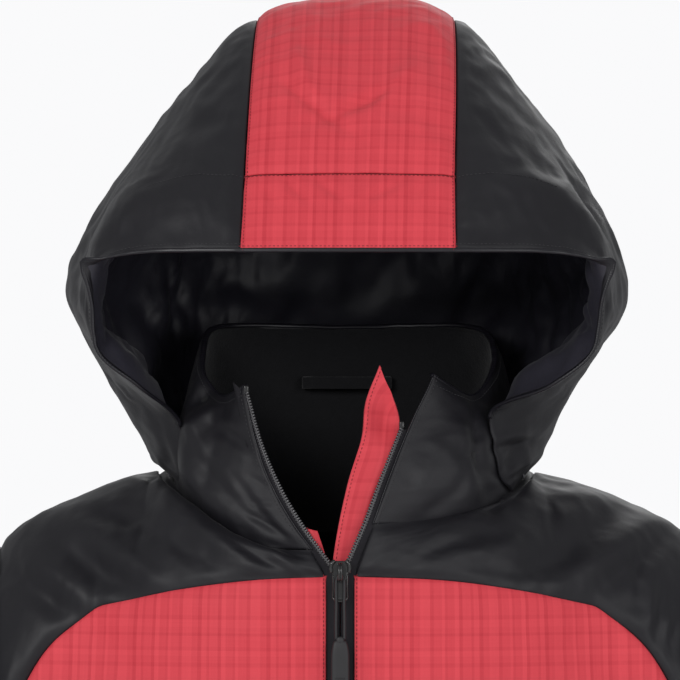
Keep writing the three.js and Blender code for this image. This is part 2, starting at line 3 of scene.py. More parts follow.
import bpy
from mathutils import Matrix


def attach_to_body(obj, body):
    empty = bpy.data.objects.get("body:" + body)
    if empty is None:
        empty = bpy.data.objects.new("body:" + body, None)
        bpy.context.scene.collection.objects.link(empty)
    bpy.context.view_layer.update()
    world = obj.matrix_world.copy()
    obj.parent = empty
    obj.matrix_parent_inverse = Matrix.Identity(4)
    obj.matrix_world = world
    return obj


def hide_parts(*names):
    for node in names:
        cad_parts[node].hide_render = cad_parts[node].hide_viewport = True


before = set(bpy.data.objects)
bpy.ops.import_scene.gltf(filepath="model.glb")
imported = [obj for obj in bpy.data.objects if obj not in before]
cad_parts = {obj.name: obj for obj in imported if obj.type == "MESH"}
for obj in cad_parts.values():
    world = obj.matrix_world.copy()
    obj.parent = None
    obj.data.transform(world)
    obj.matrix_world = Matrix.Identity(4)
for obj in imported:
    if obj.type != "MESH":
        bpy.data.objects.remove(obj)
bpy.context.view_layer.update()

import math

import bpy
import numpy as np

bl_info = {
    "name": "Ski Jacket",
    "version": (1, 0, 0),
    "blender": (4, 5, 0),
    "location": "3D View > Sidebar > Jacket",
    "description": "Builds a padded, hooded ski jacket with its zips, linings and trims",
    "category": "Add Mesh",
}

MM = 0.001
RIGHT, LEFT = -1, 1  # the wearer's; right is -X
SIDES = ((RIGHT, "right"), (LEFT, "left"))

# Cutting sizes, in millimetres, as the frame was built
ZIP_X = -4.5
ZIP_Y = -127.0
ZIP_HALF = 8.5
ZIP_TOP = -66.0  # the closed run of the main zip ends here, under the slider
SLIDER_Z = -64.0
HEM_Z = -714.0
HEM_START = 0.955
LINING_DEPTH = 12.0
CUFF_START = 8 / 9
FRONT_ARM_SEAM = 0.28
PANEL_SEAM = 0.2
PEAK_SEAM = 1 / 7
POCKET_U = 2.75 / 7
POCKET_TOP = -402.0
POCKET_LENGTH = 166.0

# ---------- curves and surfaces, in millimetres ----------


def spline(points, t):
    """A centripetal Catmull-Rom curve: in each span a cubic through its two points, with slopes from their
    neighbours, spaced by the square roots of the distances. points is (count, 3), or (count, *t.shape, 3)
    for a curve of its own at each entry of t."""
    t = np.asarray(t, float)
    points = np.asarray(points, float)
    if points.ndim == 2:
        points = points.reshape((len(points),) + (1,) * t.ndim + (3,))
        points = np.broadcast_to(points, (len(points),) + t.shape + (3,))
    ends = 2 * points[:1] - points[1:2], 2 * points[-1:] - points[-2:-1]
    held = np.concatenate([ends[0], points, ends[1]])
    place = np.clip(t, 0, 1) * (len(points) - 1)
    span = np.minimum(place.astype(int), len(points) - 2)
    w = (place - span)[..., None]
    a, b, c, d = (np.take_along_axis(held, (span + k)[None, ..., None], 0)[0] for k in range(4))
    gap = [np.linalg.norm(q - p, axis=-1, keepdims=True) ** 0.5 for p, q in ((a, b), (b, c), (c, d))]
    middle = np.where(gap[1] < 1e-4, 1.0, gap[1])
    before = np.where(gap[0] < 1e-4, middle, gap[0])
    after = np.where(gap[2] < 1e-4, middle, gap[2])
    rise = ((b - a) / before - (c - a) / (before + middle) + (c - b) / middle) * middle
    fall = ((c - b) / middle - (d - b) / (middle + after) + (d - c) / after) * middle
    return b + rise * w + (3 * (c - b) - 2 * rise - fall) * w**2 + (2 * (b - c) + rise + fall) * w**3


def curve(points):
    """A curve through points, as a function of the place along it from 0 to 1."""
    return lambda t: spline(points, t)


def joined(first, second, split):
    """Two curves end to end: the first up to split, the second after it."""

    def run(t):
        early = (t <= split)[..., None]
        return np.where(early, first(t / split), second((t - split) / (1 - split)))

    return run


def net(rows):
    """A surface through rows of points: u runs along each row's curve, v along the curve across the rows."""
    along = [curve(row) for row in rows]
    return lambda u, v: spline(np.stack([row(u) for row in along]), v)


def coons(top, bottom, start, end):
    """The patch that fills four seams: the two ruled surfaces between facing seams, added, less the
    bilinear surface through the four corners."""

    def at(u, v):
        zero, one = np.zeros_like(u), np.ones_like(u)
        a, b = u[..., None], v[..., None]
        corners = (top(zero) * (1 - a) + top(one) * a) * (1 - b)
        corners = corners + (bottom(zero) * (1 - a) + bottom(one) * a) * b
        return top(u) * (1 - b) + bottom(u) * b + start(v) * (1 - a) + end(v) * a - corners

    return at


def mirrored(surface):
    """A surface with its X turned over."""
    return lambda u, v: surface(u, v) * np.array([-1, 1, 1])


def for_side(build, side):
    """A side's surface: the left one as built, the right one turned over."""
    return build(side) if side == LEFT else mirrored(build(side))


def both_halves(surface):
    """A symmetrical surface, with u from -1 on the right to 1 on the left."""
    return lambda u, v: surface(np.abs(u), v) * np.stack([np.sign(u) + (u == 0), 0 * u + 1, 0 * u + 1], -1)


def smooth(x, low, high):
    """0 below low, 1 above high and the cubic 3 t^2 - 2 t^3 between them."""
    t = np.clip((x - low) / (high - low), 0, 1)
    return t * t * (3 - 2 * t)


def waves(p, size, seed, count=7):
    """A soft random field: the mean of plane sine waves in seeded directions, about size long."""
    draw = np.random.default_rng(seed)
    ways = draw.normal(size=(count, 3))
    ways /= np.linalg.norm(ways, axis=1, keepdims=True) * size * draw.uniform(0.7, 1.5, (count, 1))
    phase = draw.uniform(0, 2 * np.pi, count)
    return np.sin(2 * np.pi * (p @ ways.T) + phase).mean(-1) * 1.6


def crumple(p, size, seed):
    """Creased cloth: a warped wave field folded at zero, so that its creases are sharp and its faces soft."""
    moved = p + np.stack([waves(p, size * 1.6, seed + k) for k in (1, 2, 3)], -1) * size * 0.45
    fold = np.abs(waves(moved, size, seed + 4)) + 0.5 * np.abs(waves(moved, size * 0.55, seed + 5))
    return 1 - 1.8 * fold


# ---------- seams of the body ----------

ARM = {"x": 229, "y": 5, "z": -176, "height": 126, "depth": 88, "lean": 3}


def armhole(degrees):
    """The armhole ring: 0 at the shoulder tip, 90 at the front, 180 at the armpit."""
    a = np.radians(np.asarray(degrees, float))
    c, s = np.cos(a), np.sin(a)
    x, y = ARM["x"] + ARM["lean"] * c, ARM["y"] + ARM["lean"] * c - ARM["depth"] * s
    return np.stack([x, y, ARM["z"] + ARM["height"] * c], -1)


def armhole_run(start, end):
    """The stretch of the armhole ring between two angles."""
    return lambda t: armhole(start + (end - start) * np.clip(t, 0, 1))


SHOULDER = [[124, 5, 0], [150, 7, -7], [181, 8, -20], [209, 8, -33], armhole(0)]
SIDE_SEAM = [armhole(180), [229, 3, -420], [231, 4, -570], [232, 4, HEM_Z - 10]]
NECK_FRONT = {
    RIGHT: [[23.5, -122, -50], [68, -104, -42], [105, -68, -19], [121, -30, -6], [124, 5, 0]],
    LEFT: [[17.5, -120, -33], [75, -98, -25], [104, -68, -16], [121, -30, -5], [124, 5, 0]],
}
NECK_BACK = [[0, 76, 15], [65, 68, 13], [110, 45, 7], [124, 5, 0]]
OPEN_EDGE = {
    RIGHT: [[-11.5, -127, -66], [-23.5, -122, -50], [-35, -118, -34], [-47.6, -113.5, -13],
            [-60, -106, 16], [-69.5, -98, 54]],
    LEFT: [[2.5, -127, -66], [9, -123.5, -50], [17.5, -120, -33], [26.5, -113.5, -6], [40, -105, 27],
           [58, -96, 61]],
}
OPEN_COIL = {
    RIGHT: [[-6.3, -124.5, -66], [-18.4, -120, -50], [-30, -115, -34], [-43, -111, -12],
            [-55.6, -104, 17], [-65, -96.5, 50]],
    LEFT: [[-2.7, -124.5, -66], [4, -121, -51], [12, -117, -33], [22, -111, -6], [35, -104, 27]],
}
COLLAR_FOOT = {RIGHT: 1, LEFT: 2}


def panel_edge(side):
    """How far a front panel's edge lies from the plane where X is 0, on its own side."""
    return ZIP_HALF + side * ZIP_X


def chest_seam(edge):
    """The seam from the zip across the chest, then down to the armhole: two curves end to end."""
    return joined(
        curve([[edge, ZIP_Y, ZIP_TOP], [60, -127, -68], [112, -114, -75], [162, -93, -86]]),
        curve([[162, -93, -86], [196, -88, -116], armhole(92)]),
        0.6,
    )


def front_yoke(side):
    """The patch between the neck and shoulder, the chest seam, the zip's edge and the armhole."""
    edge = panel_edge(side)
    neck = joined(curve(NECK_FRONT[side]), curve(SHOULDER), 0.5)
    start = curve([NECK_FRONT[side][0], [edge, ZIP_Y, ZIP_TOP]])
    return coons(neck, chest_seam(edge), start, armhole_run(0, 92))


def front_panel(side):
    """The patch between the chest seam and armhole, the hem, the zip's edge and the side seam."""
    edge = panel_edge(side)
    top = joined(chest_seam(edge), armhole_run(92, 180), 5 / 7)
    hem = curve([
        [edge, ZIP_Y, HEM_Z], [60, -127, HEM_Z], [112, -114, HEM_Z], [160, -94, HEM_Z - 2],
        [193, -74, HEM_Z - 4], [216, -50, HEM_Z - 6], [229, -24, HEM_Z - 8], [232, 4, HEM_Z - 10],
    ])
    return coons(top, hem, curve([[edge, ZIP_Y, ZIP_TOP], [edge, ZIP_Y, HEM_Z]]), curve(SIDE_SEAM))


BACK_SEAM = curve([[0, 125, -130], [100, 120, -134], [165, 103, -147], armhole(-92)])
yoke_back = both_halves(coons(
    joined(curve(NECK_BACK), curve(SHOULDER), 0.5),
    BACK_SEAM,
    curve([[0, 76, 15], [0, 101, -40], [0, 119, -90], [0, 125, -130]]),
    armhole_run(0, -92),
))
back_panel = both_halves(coons(
    joined(BACK_SEAM, armhole_run(-92, -180), 0.6),
    curve([
        [0, 128, HEM_Z - 16], [90, 124, HEM_Z - 16], [150, 106, HEM_Z - 15],
        [195, 78, HEM_Z - 13], [222, 42, HEM_Z - 11], [232, 4, HEM_Z - 10],
    ]),
    curve([[0, 125, -130], [0, 132, -260], [0, 130, -460], [0, 128, HEM_Z - 16]]),
    curve(SIDE_SEAM),
))


HEM_TUCK = 0.007  # the hem band's face starts this much above the panels' ends, under their gathers


def hem_surface():
    """The hem band's face: from the right front round the back to the left front."""
    right, left = for_side(front_panel, RIGHT), for_side(front_panel, LEFT)

    def row(v):
        ahead, round_back = np.arange(7) / 7, np.arange(-6, 7) / 6
        lines = [right(ahead, ahead * 0 + v), back_panel(round_back, round_back * 0 + v)]
        return np.concatenate([*lines, left(ahead[::-1], ahead * 0 + v)])

    return net([row(HEM_START - HEM_TUCK), row((HEM_START + 1) / 2), row(1.0)])


SLEEVE_TOP = curve([
    armhole(0), [266, 7, -74], [306, 6, -124], [342, 5, -200], [366, 3, -290],
    [385, 0, -375], [400, -6, -460], [413, -14, -550], [428, -20, -630], [434, -22, -668],
])
SLEEVE_UNDER = curve([
    armhole(180), [234, 1, -328], [240, 0, -352], [246, -1, -378], [254, -2, -410],
    [264, -5, -445], [278, -10, -497], [303, -16, -577], [330, -22, -653], [337, -24, -690],
])
SLEEVE_DEPTH = curve([[d, 0, 0] for d in (88, 84, 78, 74, 71, 69, 65, 60, 54, 50)])


def sleeve(u, v):
    """Rings down the arm: an ellipse between the top and under lines, u in turns with 0.25 at the front."""
    a = (u * 2 * np.pi)[..., None]
    top, under = SLEEVE_TOP(v), SLEEVE_UNDER(v)
    return (top + under) / 2 + (top - under) / 2 * np.cos(a) - SLEEVE_DEPTH(v)[..., [1, 0, 2]] * np.sin(a)


def arm_of(side):
    """A side's sleeve, the right one turned over."""
    return sleeve if side == LEFT else mirrored(sleeve)


# ---------- hood and collar ----------

# Rows from the peak's edge over the crown to the neck seam, from the middle out to the left; the last points
# of the lower rows follow for each side
HOOD_ROWS = [
    [[0, -153, 143], [69, -151, 143], [98, -147, 143], [126, -141, 143], [150, -132, 141], [170, -121, 136]],
    [[0, -124, 193], [68, -122, 192], [108, -115, 190], [142, -104, 176], [163, -98, 146], [166, -121, 108]],
    [[0, -70, 262], [68, -68, 257], [108, -62, 226], [146, -56, 176], [174, -68, 124], [161, -119, 76]],
    [[0, 5, 311], [67, 5, 298], [108, 2, 250], [152, -5, 188], [182, -20, 120], [134, -113, 53]],
    [[0, 85, 296], [66, 84, 284], [104, 72, 240], [146, 52, 172], [170, 8, 88]],
    [[0, 134, 220], [64, 131, 213], [100, 114, 182], [134, 82, 128], [154, 20, 60]],
    [[0, 132, 115], [63, 127, 112], [96, 108, 98], [122, 75, 70], [137, 14, 28]],
    [[0, 79, 10], [64, 72, 9], [97, 57, 8], [119, 32, 5], [127, 0, 1]],
]
HOOD_FRONT = {
    RIGHT: [[-110, -66, 29], [-109, -63, 10], [-109, -60, -5], [-112, -56, -11]],
    LEFT: [[96, -81, 35], [98, -75, 12], [103, -67, -6], [112, -56, -11]],
}


def whole_row(number):
    """One row of the hood from the right edge to the left, leaning to the left at the crown."""
    half = np.array(HOOD_ROWS[number], float)
    row = np.concatenate([half[:0:-1] * [-1, 1, 1], half])
    front = number - len(HOOD_ROWS) + len(HOOD_FRONT[LEFT])
    if front >= 0:
        row = np.concatenate([[HOOD_FRONT[RIGHT][front]], row, [HOOD_FRONT[LEFT][front]]])
    row[:, 0] += np.interp(row[:, 2], (0, 50, 120, 200, 300), (0, -2, 0, 2, 6))
    return row


HOOD_NET = net([whole_row(number) for number in range(len(HOOD_ROWS))])


def hood(u, v):
    """The hood's face, u from -1 to 1 across it and v from the peak's edge over the crown to the neck."""
    return HOOD_NET((u + 1) / 2, v)


COLLAR_BASE = np.array([
    [-23.5, -122, -50], [-66, -103, -48], [-102, -66, -28], [-115, -28, -16], [-114, 5, -22], [-101, 40, -34],
    [-60, 64, -42], [0, 72, -44], [60, 64, -42], [101, 40, -34], [114, 5, -22], [115, -28, -16],
    [102, -66, -26], [73, -98, -34], [17.5, -120, -33],
], float)
COLLAR_TOP = np.array([
    [-71, -98, 54], [-84, -68, 49], [-96, -38, 66], [-98, -5, 82], [-94, 20, 92], [-79, 38, 95],
    [-45, 50, 95], [0, 55, 94], [45, 50, 95], [79, 38, 95], [96, 20, 90], [101, -5, 78],
    [97, -38, 62], [82, -66, 50], [59, -96, 61],
], float)
COLLAR_BULGE = {1: (-5, -8, 0), 2: (-7, -17, 0), 12: (-4, -4, 0), 13: (5, -15, 0)}  # push by point number


def collar_row(t):
    """The collar's base drawn up to its top by t, its front panels puffed out at mid height and its ends on
    the edges of the open V."""
    row = COLLAR_BASE + (COLLAR_TOP - COLLAR_BASE) * t
    for number, push in COLLAR_BULGE.items():
        row[number] += np.array(push) * 4 * t * (1 - t)
    for side, end, beside in ((RIGHT, 0, 1), (LEFT, -1, -2)):
        edge = spline(OPEN_EDGE[side][COLLAR_FOOT[side]:], t)
        row[beside] += (edge - row[end]) * 0.5
        row[end] = edge
    return row


collar = net([collar_row(t) for t in (0, 1 / 3, 2 / 3, 1)])


def measure(line):
    """Distances along a line of points, from its start."""
    steps = np.linalg.norm(np.diff(line, axis=0), axis=-1)
    return np.concatenate([np.zeros((1,) + steps.shape[1:]), np.cumsum(steps, 0)])


# ---------- meshes ----------


def mesh_object(name, points, faces, material, grain=None, smooth_faces=True):
    """A mesh from points in millimetres and faces as rows of point numbers, with an optional grain map in
    millimetres along and across the cloth."""
    mesh = bpy.data.meshes.new(name)
    mesh.from_pydata((np.asarray(points) * MM).tolist(), [], [list(f) for f in faces])
    if grain is not None:
        corners = np.zeros(len(mesh.loops), np.int32)
        mesh.loops.foreach_get("vertex_index", corners)
        layer = mesh.uv_layers.new(name="grain")
        layer.data.foreach_set("uv", (np.asarray(grain).reshape(-1, 2)[corners] * MM).ravel())
    mesh.polygons.foreach_set("use_smooth", np.full(len(mesh.polygons), smooth_faces))
    mesh.materials.append(material)
    mesh.update()
    piece = bpy.data.objects.new(name, mesh)
    bpy.context.scene.collection.objects.link(piece)
    return piece


def attach(piece, body, slot, *nodes):
    """Puts a piece on the body it rides on and hides the plain parts it replaces; the finish slot is not
    used.
    """
    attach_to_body(piece, body)
    if nodes:
        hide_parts(*nodes)
    return piece


def thicken(piece, thickness, levels=1):
    """A wall inwards of the face, then any rounds of subdivision."""
    wall = piece.modifiers.new("wall", "SOLIDIFY")
    wall.thickness, wall.offset, wall.use_even_offset = thickness * MM, -1.0, False
    if levels:
        soft = piece.modifiers.new("soft", "SUBSURF")
        soft.levels = soft.render_levels = levels
    return piece


def grid_faces(rows, columns, wrap=False, flip=False, first=0):
    """Quads of a grid of points, row after row; a wrapped grid closes on itself along its rows."""
    i, j = np.meshgrid(np.arange(columns if wrap else columns - 1), np.arange(rows - 1))
    a, b = j * columns + i, j * columns + (i + 1) % columns
    quads = np.stack([a, b, b + columns, a + columns], -1).reshape(-1, 4) + first
    return quads[:, ::-1] if flip else quads


class Panel:
    """One cut piece of cloth: its face on a grid of rows and columns, with its outward normals, the
    distance of each point from each edge, and the cloth's grain. Millimetres."""

    def __init__(self, name, surface, u, v, step, out=1, wrap=False, corner=0.0, grain="rows"):
        self.name, self.out, self.wrap = name, out, wrap
        ends = np.linspace(0, 1, 60)
        mid_u, mid_v = np.full(60, sum(u) / 2), np.full(60, sum(v) / 2)
        width = measure(surface(u[0] + (u[1] - u[0]) * ends, mid_v))[-1]
        height = measure(surface(mid_u, v[0] + (v[1] - v[0]) * ends))[-1]
        columns, rows = max(2, round(width / step)), max(2, round(height / step))
        across = np.linspace(*u, columns + 1)[: columns if wrap else None]
        self.u, self.v = np.meshgrid(across, np.linspace(*v, rows + 1))
        if corner:
            self.round_corner(corner, width / abs(u[1] - u[0]), height / abs(v[1] - v[0]))
        self.points = surface(self.u, self.v)
        self.along = measure(self.points)
        self.across = measure(self.points.swapaxes(0, 1)).T
        self.edges = [self.across, self.across[:, -1:] - self.across]
        self.edges += [self.along, self.along[-1:] - self.along]
        if grain == "upright":
            flat = self.points * [1, 1, 0]
            self.grain = np.stack([measure(flat.swapaxes(0, 1)).T, self.points[..., 2]], -1)
        else:
            middle = columns // 2
            offset, down = (part[:, middle:middle + 1] for part in (self.across, self.along))
            self.grain = np.stack([self.across - offset, down + 0 * self.across], -1)

    def round_corner(self, radius, wide, tall):
        """Rounds the corner where u is +-1 and v is 0: the square corner is mapped to a quarter disc."""
        a = (1 - np.abs(self.u)) * wide
        b = self.v * tall
        x, y = np.maximum(radius - a, 0) / radius, np.maximum(radius - b, 0) / radius
        inside = (x > 0) & (y > 0)
        a = np.where(inside, radius - radius * x * np.sqrt(1 - y**2 / 2), a)
        b = np.where(inside, radius - radius * y * np.sqrt(1 - x**2 / 2), b)
        self.u, self.v = np.sign(self.u) * (1 - a / wide), b / tall

    def normals(self):
        """Outward unit normals: the cross product of the face's two directions."""
        points = self.points
        if self.wrap:
            along_u = np.roll(points, -1, 1) - np.roll(points, 1, 1)
        else:
            along_u = np.gradient(points, axis=1)
        n = np.cross(along_u, np.gradient(points, axis=0)) * self.out
        return n / np.maximum(np.linalg.norm(n, axis=-1, keepdims=True), 1e-9)

    def push(self, amount):
        """Moves the face along its normals."""
        self.points = self.points + self.normals() * np.asarray(amount)[..., None]
        return self

    def ease(self, times, reach=50):
        """Smooths the rows near the middle of the body, where the two halves of the surface meet."""
        for _ in range(times):
            w = np.exp(-((self.points[:, 1:-1, :1] / reach) ** 2)) * 0.5
            mean = (self.points[:, :-2] + self.points[:, 2:]) / 2
            self.points[:, 1:-1] += (mean - self.points[:, 1:-1]) * w
        return self

    def faces(self, first=0):
        """The face's quads, whose points are numbered from first."""
        rows, columns = self.points.shape[:2]
        return grid_faces(rows, columns, self.wrap, self.out < 0, first)

    def line(self, u=None, v=None, inset=0.0):
        """A row or a column of the face as points and normals, inset a distance from the edge: u or v is
        0 or 1 for the edge it runs beside."""
        n = self.normals()
        if u is not None:
            points, normals = self.points.swapaxes(0, 1), n.swapaxes(0, 1)
            spacing, far = self.across.T, u
        else:
            points, normals, spacing, far = self.points, n, self.along, v
        if far:
            points, normals, spacing = points[::-1], normals[::-1], spacing[-1:] - spacing[::-1]
        steps = np.arange(len(spacing))
        place = np.array([np.interp(inset, column, steps) for column in spacing.T])
        low = np.minimum(place.astype(int), len(points) - 2)
        w = (place - low)[:, None]
        each = np.arange(points.shape[1])
        mixed = points[low, each] * (1 - w) + points[low + 1, each] * w
        turned = normals[low, each] * (1 - w) + normals[low + 1, each] * w
        return mixed, turned / np.linalg.norm(turned, axis=1, keepdims=True)

    def flat(self):
        """The width, length and area in metres of the rectangle or shape that the panel was cut to."""
        p = np.concatenate([self.points, self.points[:, :1]], 1) if self.wrap else self.points
        width, length = measure(p.swapaxes(0, 1))[-1].max(), measure(p)[-1].max()
        a, b = p[1:, 1:] - p[:-1, :-1], p[1:, :-1] - p[:-1, 1:]
        area = np.linalg.norm(np.cross(a, b), axis=-1).sum() / 2
        return float(width * MM), float(length * MM), float(area * MM * MM)

    def build(self, colour):
        """The face as a mesh, whose four corners stay sharp when it is subdivided."""
        piece = mesh_object(self.name, self.points.reshape(-1, 3), self.faces(), finish(colour), self.grain)
        if not self.wrap:
            sharp = np.zeros(self.u.shape)
            sharp[::len(sharp) - 1, ::sharp.shape[1] - 1] = 1
            corners = piece.data.attributes.new("crease_vert", "FLOAT", "POINT")
            corners.data.foreach_set("value", sharp.ravel())
        return piece


def resampled(line, normals, step):
    """The line again at even steps, with its normals and its directions."""
    at = measure(line)
    places = np.linspace(0, at[-1], max(3, round(at[-1] / step) + 1))
    mixed = np.stack([np.interp(places, at, line[:, k]) for k in range(3)], 1)
    turned = np.stack([np.interp(places, at, normals[:, k]) for k in range(3)], 1)
    ways = np.gradient(mixed, axis=0)
    ways /= np.linalg.norm(ways, axis=1, keepdims=True)
    turned -= (turned * ways).sum(1, keepdims=True) * ways
    return mixed, turned / np.linalg.norm(turned, axis=1, keepdims=True), ways


def tube(line, normals, radius, step=2.0, sides=8, flat=1.0, lift=0.0):
    """A round or flattened bar along a line: each ring is an ellipse of radius across and radius times
    flat along the normal, and each end closes in a point. Returns points and faces."""
    middle, up, ways = resampled(line, normals, step)
    side = np.cross(ways, up)
    a = np.arange(sides) / sides * 2 * np.pi
    ring = side[:, None] * np.cos(a)[:, None] + up[:, None] * (np.sin(a) * flat)[:, None]
    radius = np.broadcast_to(np.asarray(radius, float), (len(middle),))
    points = (middle + up * lift)[:, None] + ring * radius[:, None, None]
    count = len(middle)
    ends = middle[[0, -1]] + ways[[0, -1]] * radius[[0, -1], None] * [[-0.4], [0.4]] + up[[0, -1]] * lift
    faces = grid_faces(count, sides, True, True).tolist()
    around = np.arange(sides)
    faces += [[count * sides, i, (i + 1) % sides] for i in around.tolist()]
    last = (count - 1) * sides
    faces += [[count * sides + 1, last + (i + 1) % sides, last + i] for i in around.tolist()]
    return np.concatenate([points.reshape(-1, 3), ends]), faces


def rod(route, radius, step=0.8, sides=10, count=24, facing=(0, -1, 0)):
    """A round bar along the curve through a few points."""
    line = spline(route, np.linspace(0, 1, count))
    return tube(line, np.tile(np.array(facing, float), (count, 1)), radius, step, sides)


def gathered(parts):
    """Several (points, faces) as one."""
    points, faces, first = [], [], 0
    for some, their in parts:
        points.append(some)
        faces += [[i + first for i in f] for f in their]
        first += len(some)
    return np.concatenate(points), faces


def thread(line, normals, pitch, length, radius, lift):
    """A row of stitches: at each pitch a short bar along the line, a ring of four points at each quarter and
    one point at each end."""
    middle, up, ways = resampled(line, normals, pitch)
    side = np.cross(ways, up)
    middle = middle + up * lift
    rings = []
    for along, wide in ((-0.5, 0.0), (-0.28, 1.0), (0.28, 1.0), (0.5, 0.0)):
        if wide:
            rings += [middle + ways * along * length + (side * x + up * y) * radius
                      for x, y in ((1, 0), (0, 1), (-1, 0), (0, -1))]
        else:
            rings.append(middle + ways * along * length - up * radius)
    points = np.stack(rings, 1).reshape(-1, 3)
    one = [[0, 1, 2], [0, 2, 3], [0, 3, 4], [0, 4, 1], [9, 6, 5], [9, 7, 6], [9, 8, 7], [9, 5, 8]]
    one += [[1, 5, 6], [1, 6, 2], [2, 6, 7], [2, 7, 3], [3, 7, 8], [3, 8, 4], [4, 8, 5], [4, 5, 1]]
    starts = np.arange(len(middle))[:, None, None] * 10
    return points, (np.array(one)[None] + starts).reshape(-1, 3).tolist()


def power(x, e):
    """A power that keeps the sign."""
    return np.sign(x) * np.abs(x) ** e


def lump(size, at=(0, 0, 0), square=0.5, round_up=0.5, turns=28, levels=14, squeeze=None):
    """A rounded block: a superellipsoid, whose x and z follow powers of cosine and sine of the turn and y
    those of the tilt, so that small powers give flat sides. squeeze(z) narrows it along its height."""
    tilt = np.linspace(-np.pi / 2, np.pi / 2, levels + 1)[:, None]
    turn = np.arange(turns) / turns * 2 * np.pi + 0 * tilt
    tilt = tilt + 0 * turn
    thin = power(np.cos(tilt), round_up)
    x, z = thin * power(np.cos(turn), square), thin * power(np.sin(turn), square)
    if squeeze is not None:
        x = x * squeeze(z)
    points = np.stack([x, power(np.sin(tilt), round_up), z], -1) * (np.array(size) / 2) + np.array(at, float)
    inner = points[1:-1].reshape(-1, 3)
    poles = np.stack([points[0].mean(0), points[-1].mean(0)])
    faces = grid_faces(levels - 1, turns, True, False).tolist()
    last = (levels - 2) * turns
    count = len(inner)
    faces += [[count, (i + 1) % turns, i] for i in range(turns)]
    faces += [[count + 1, last + i, last + (i + 1) % turns] for i in range(turns)]
    return np.concatenate([inner, poles]), faces


# ---------- shader nodes ----------


class Wire:
    """A shader socket that sums can be written on; each operator adds its Math node."""

    def __init__(self, cloth, socket):
        self.cloth, self.socket = cloth, socket

    def math(self, operation, *others):
        values = {i: other for i, other in enumerate((self, *others))}
        return self.cloth.add("ShaderNodeMath", {"operation": operation}, values)[0]

    def __add__(self, other):
        return self.math("ADD", other)

    def __sub__(self, other):
        return self.math("SUBTRACT", other)

    def __rsub__(self, other):
        return (self * -1) + other

    def __mul__(self, other):
        return self.math("MULTIPLY", other)

    def __pow__(self, other):
        return self.math("POWER", other)

    __radd__, __rmul__ = __add__, __mul__

    def part(self):
        return self.math("FRACT")

    def size(self):
        return self.math("ABSOLUTE")


class Finish:
    """A material and the one way that its nodes are added."""

    def __init__(self, name):
        self.material = bpy.data.materials.new(name)
        self.material.use_nodes = True
        self.tree = self.material.node_tree
        self.tree.nodes.clear()
        self.output = self.tree.nodes.new("ShaderNodeOutputMaterial")

    def add(self, kind, settings=None, values=None):
        """A node of a kind, with its settings made first, then the values or links of its sockets. Returns
        its outputs as wires."""
        node = self.tree.nodes.new(kind)
        for key, value in (settings or {}).items():
            if key == "stops":
                ramp = node.color_ramp
                while len(ramp.elements) < len(value):
                    ramp.elements.new(0.5)
                for element, (place, _) in zip(ramp.elements, value):
                    element.position = place
                for element, (_, shade) in zip(ramp.elements, value):
                    element.color = (shade, shade, shade, 1)
            else:
                setattr(node, key, value)
        for key, value in (values or {}).items():
            if isinstance(value, Wire):
                self.tree.links.new(value.socket, node.inputs[key])
            elif isinstance(value, tuple) and len(value) == 3 and node.inputs[key].type == "RGBA":
                node.inputs[key].default_value = (*value, 1)
            else:
                node.inputs[key].default_value = value
        return [Wire(self, socket) for socket in node.outputs]

    def mix(self, amount, first, second):
        """Colour first where amount is 0 and second where it is 1."""
        made = self.add("ShaderNodeMix", {"data_type": "RGBA"}, {"Factor": amount, 6: first, 7: second})
        return made[2]

    def grain(self):
        """The cloth's own grain in metres, along x and y."""
        return self.add("ShaderNodeUVMap", {"uv_map": "grain"})[0]

    def place(self):
        return self.add("ShaderNodeTexCoord")[3]

    def scaled(self, vector, scale):
        return self.add("ShaderNodeMapping", None, {"Vector": vector, "Scale": scale})[0]

    def split(self, vector):
        return self.add("ShaderNodeSeparateXYZ", None, {"Vector": vector})

    def noise(self, vector, scale, detail=2.0, roughness=0.5):
        values = {"Vector": vector, "Scale": scale, "Detail": detail, "Roughness": roughness}
        return self.add("ShaderNodeTexNoise", None, values)[0]

    def bump(self, height, distance, strength=1.0, under=None):
        values = {"Height": height, "Distance": distance, "Strength": strength}
        if under is not None:
            values["Normal"] = under
        return self.add("ShaderNodeBump", None, values)[0]

    def surface(self, **sockets):
        values = {key.replace("_", " "): value for key, value in sockets.items()}
        shader = self.add("ShaderNodeBsdfPrincipled", None, values)[0]
        self.tree.links.new(shader.socket, self.output.inputs["Surface"])
        return self.material


# Widths in millimetres and shades of the stripes that the check repeats, along and across the cloth
CHECK_ALONG = ((4.2, 0.9), (2.4, 0.25), (5.2, 0.62), (2.0, 0.95), (1.6, 0.3), (4.6, 0.55), (3.0, 1.0),
               (2.2, 0.15), (5.6, 0.7), (1.8, 0.35), (3.4, 0.85), (2.6, 0.1), (4.0, 0.6), (2.2, 0.95))
CHECK_ACROSS = ((6.0, 0.75), (2.6, 0.15), (4.4, 0.6), (3.4, 0.95), (2.4, 0.3), (7.0, 0.7), (2.0, 0.05),
                (3.6, 0.55), (5.0, 0.9), (2.6, 0.2), (4.6, 0.65))


def toned(colour, by=1.0):
    """A colour made lighter or darker, each channel times the same factor."""
    return tuple(channel * by for channel in colour)


def stripe_stops(stripes):
    """Stops for a ramp that steps from stripe to stripe, each step 0.5 mm wide, over one repeat."""
    ends = np.cumsum([0] + [width for width, _ in stripes])
    stops = []
    for (start, end), (_, shade) in zip(zip(ends, ends[1:]), stripes):
        stops += [((start + 0.25) / ends[-1], shade), ((end - 0.25) / ends[-1], shade)]
    return stops, float(ends[-1]) * MM


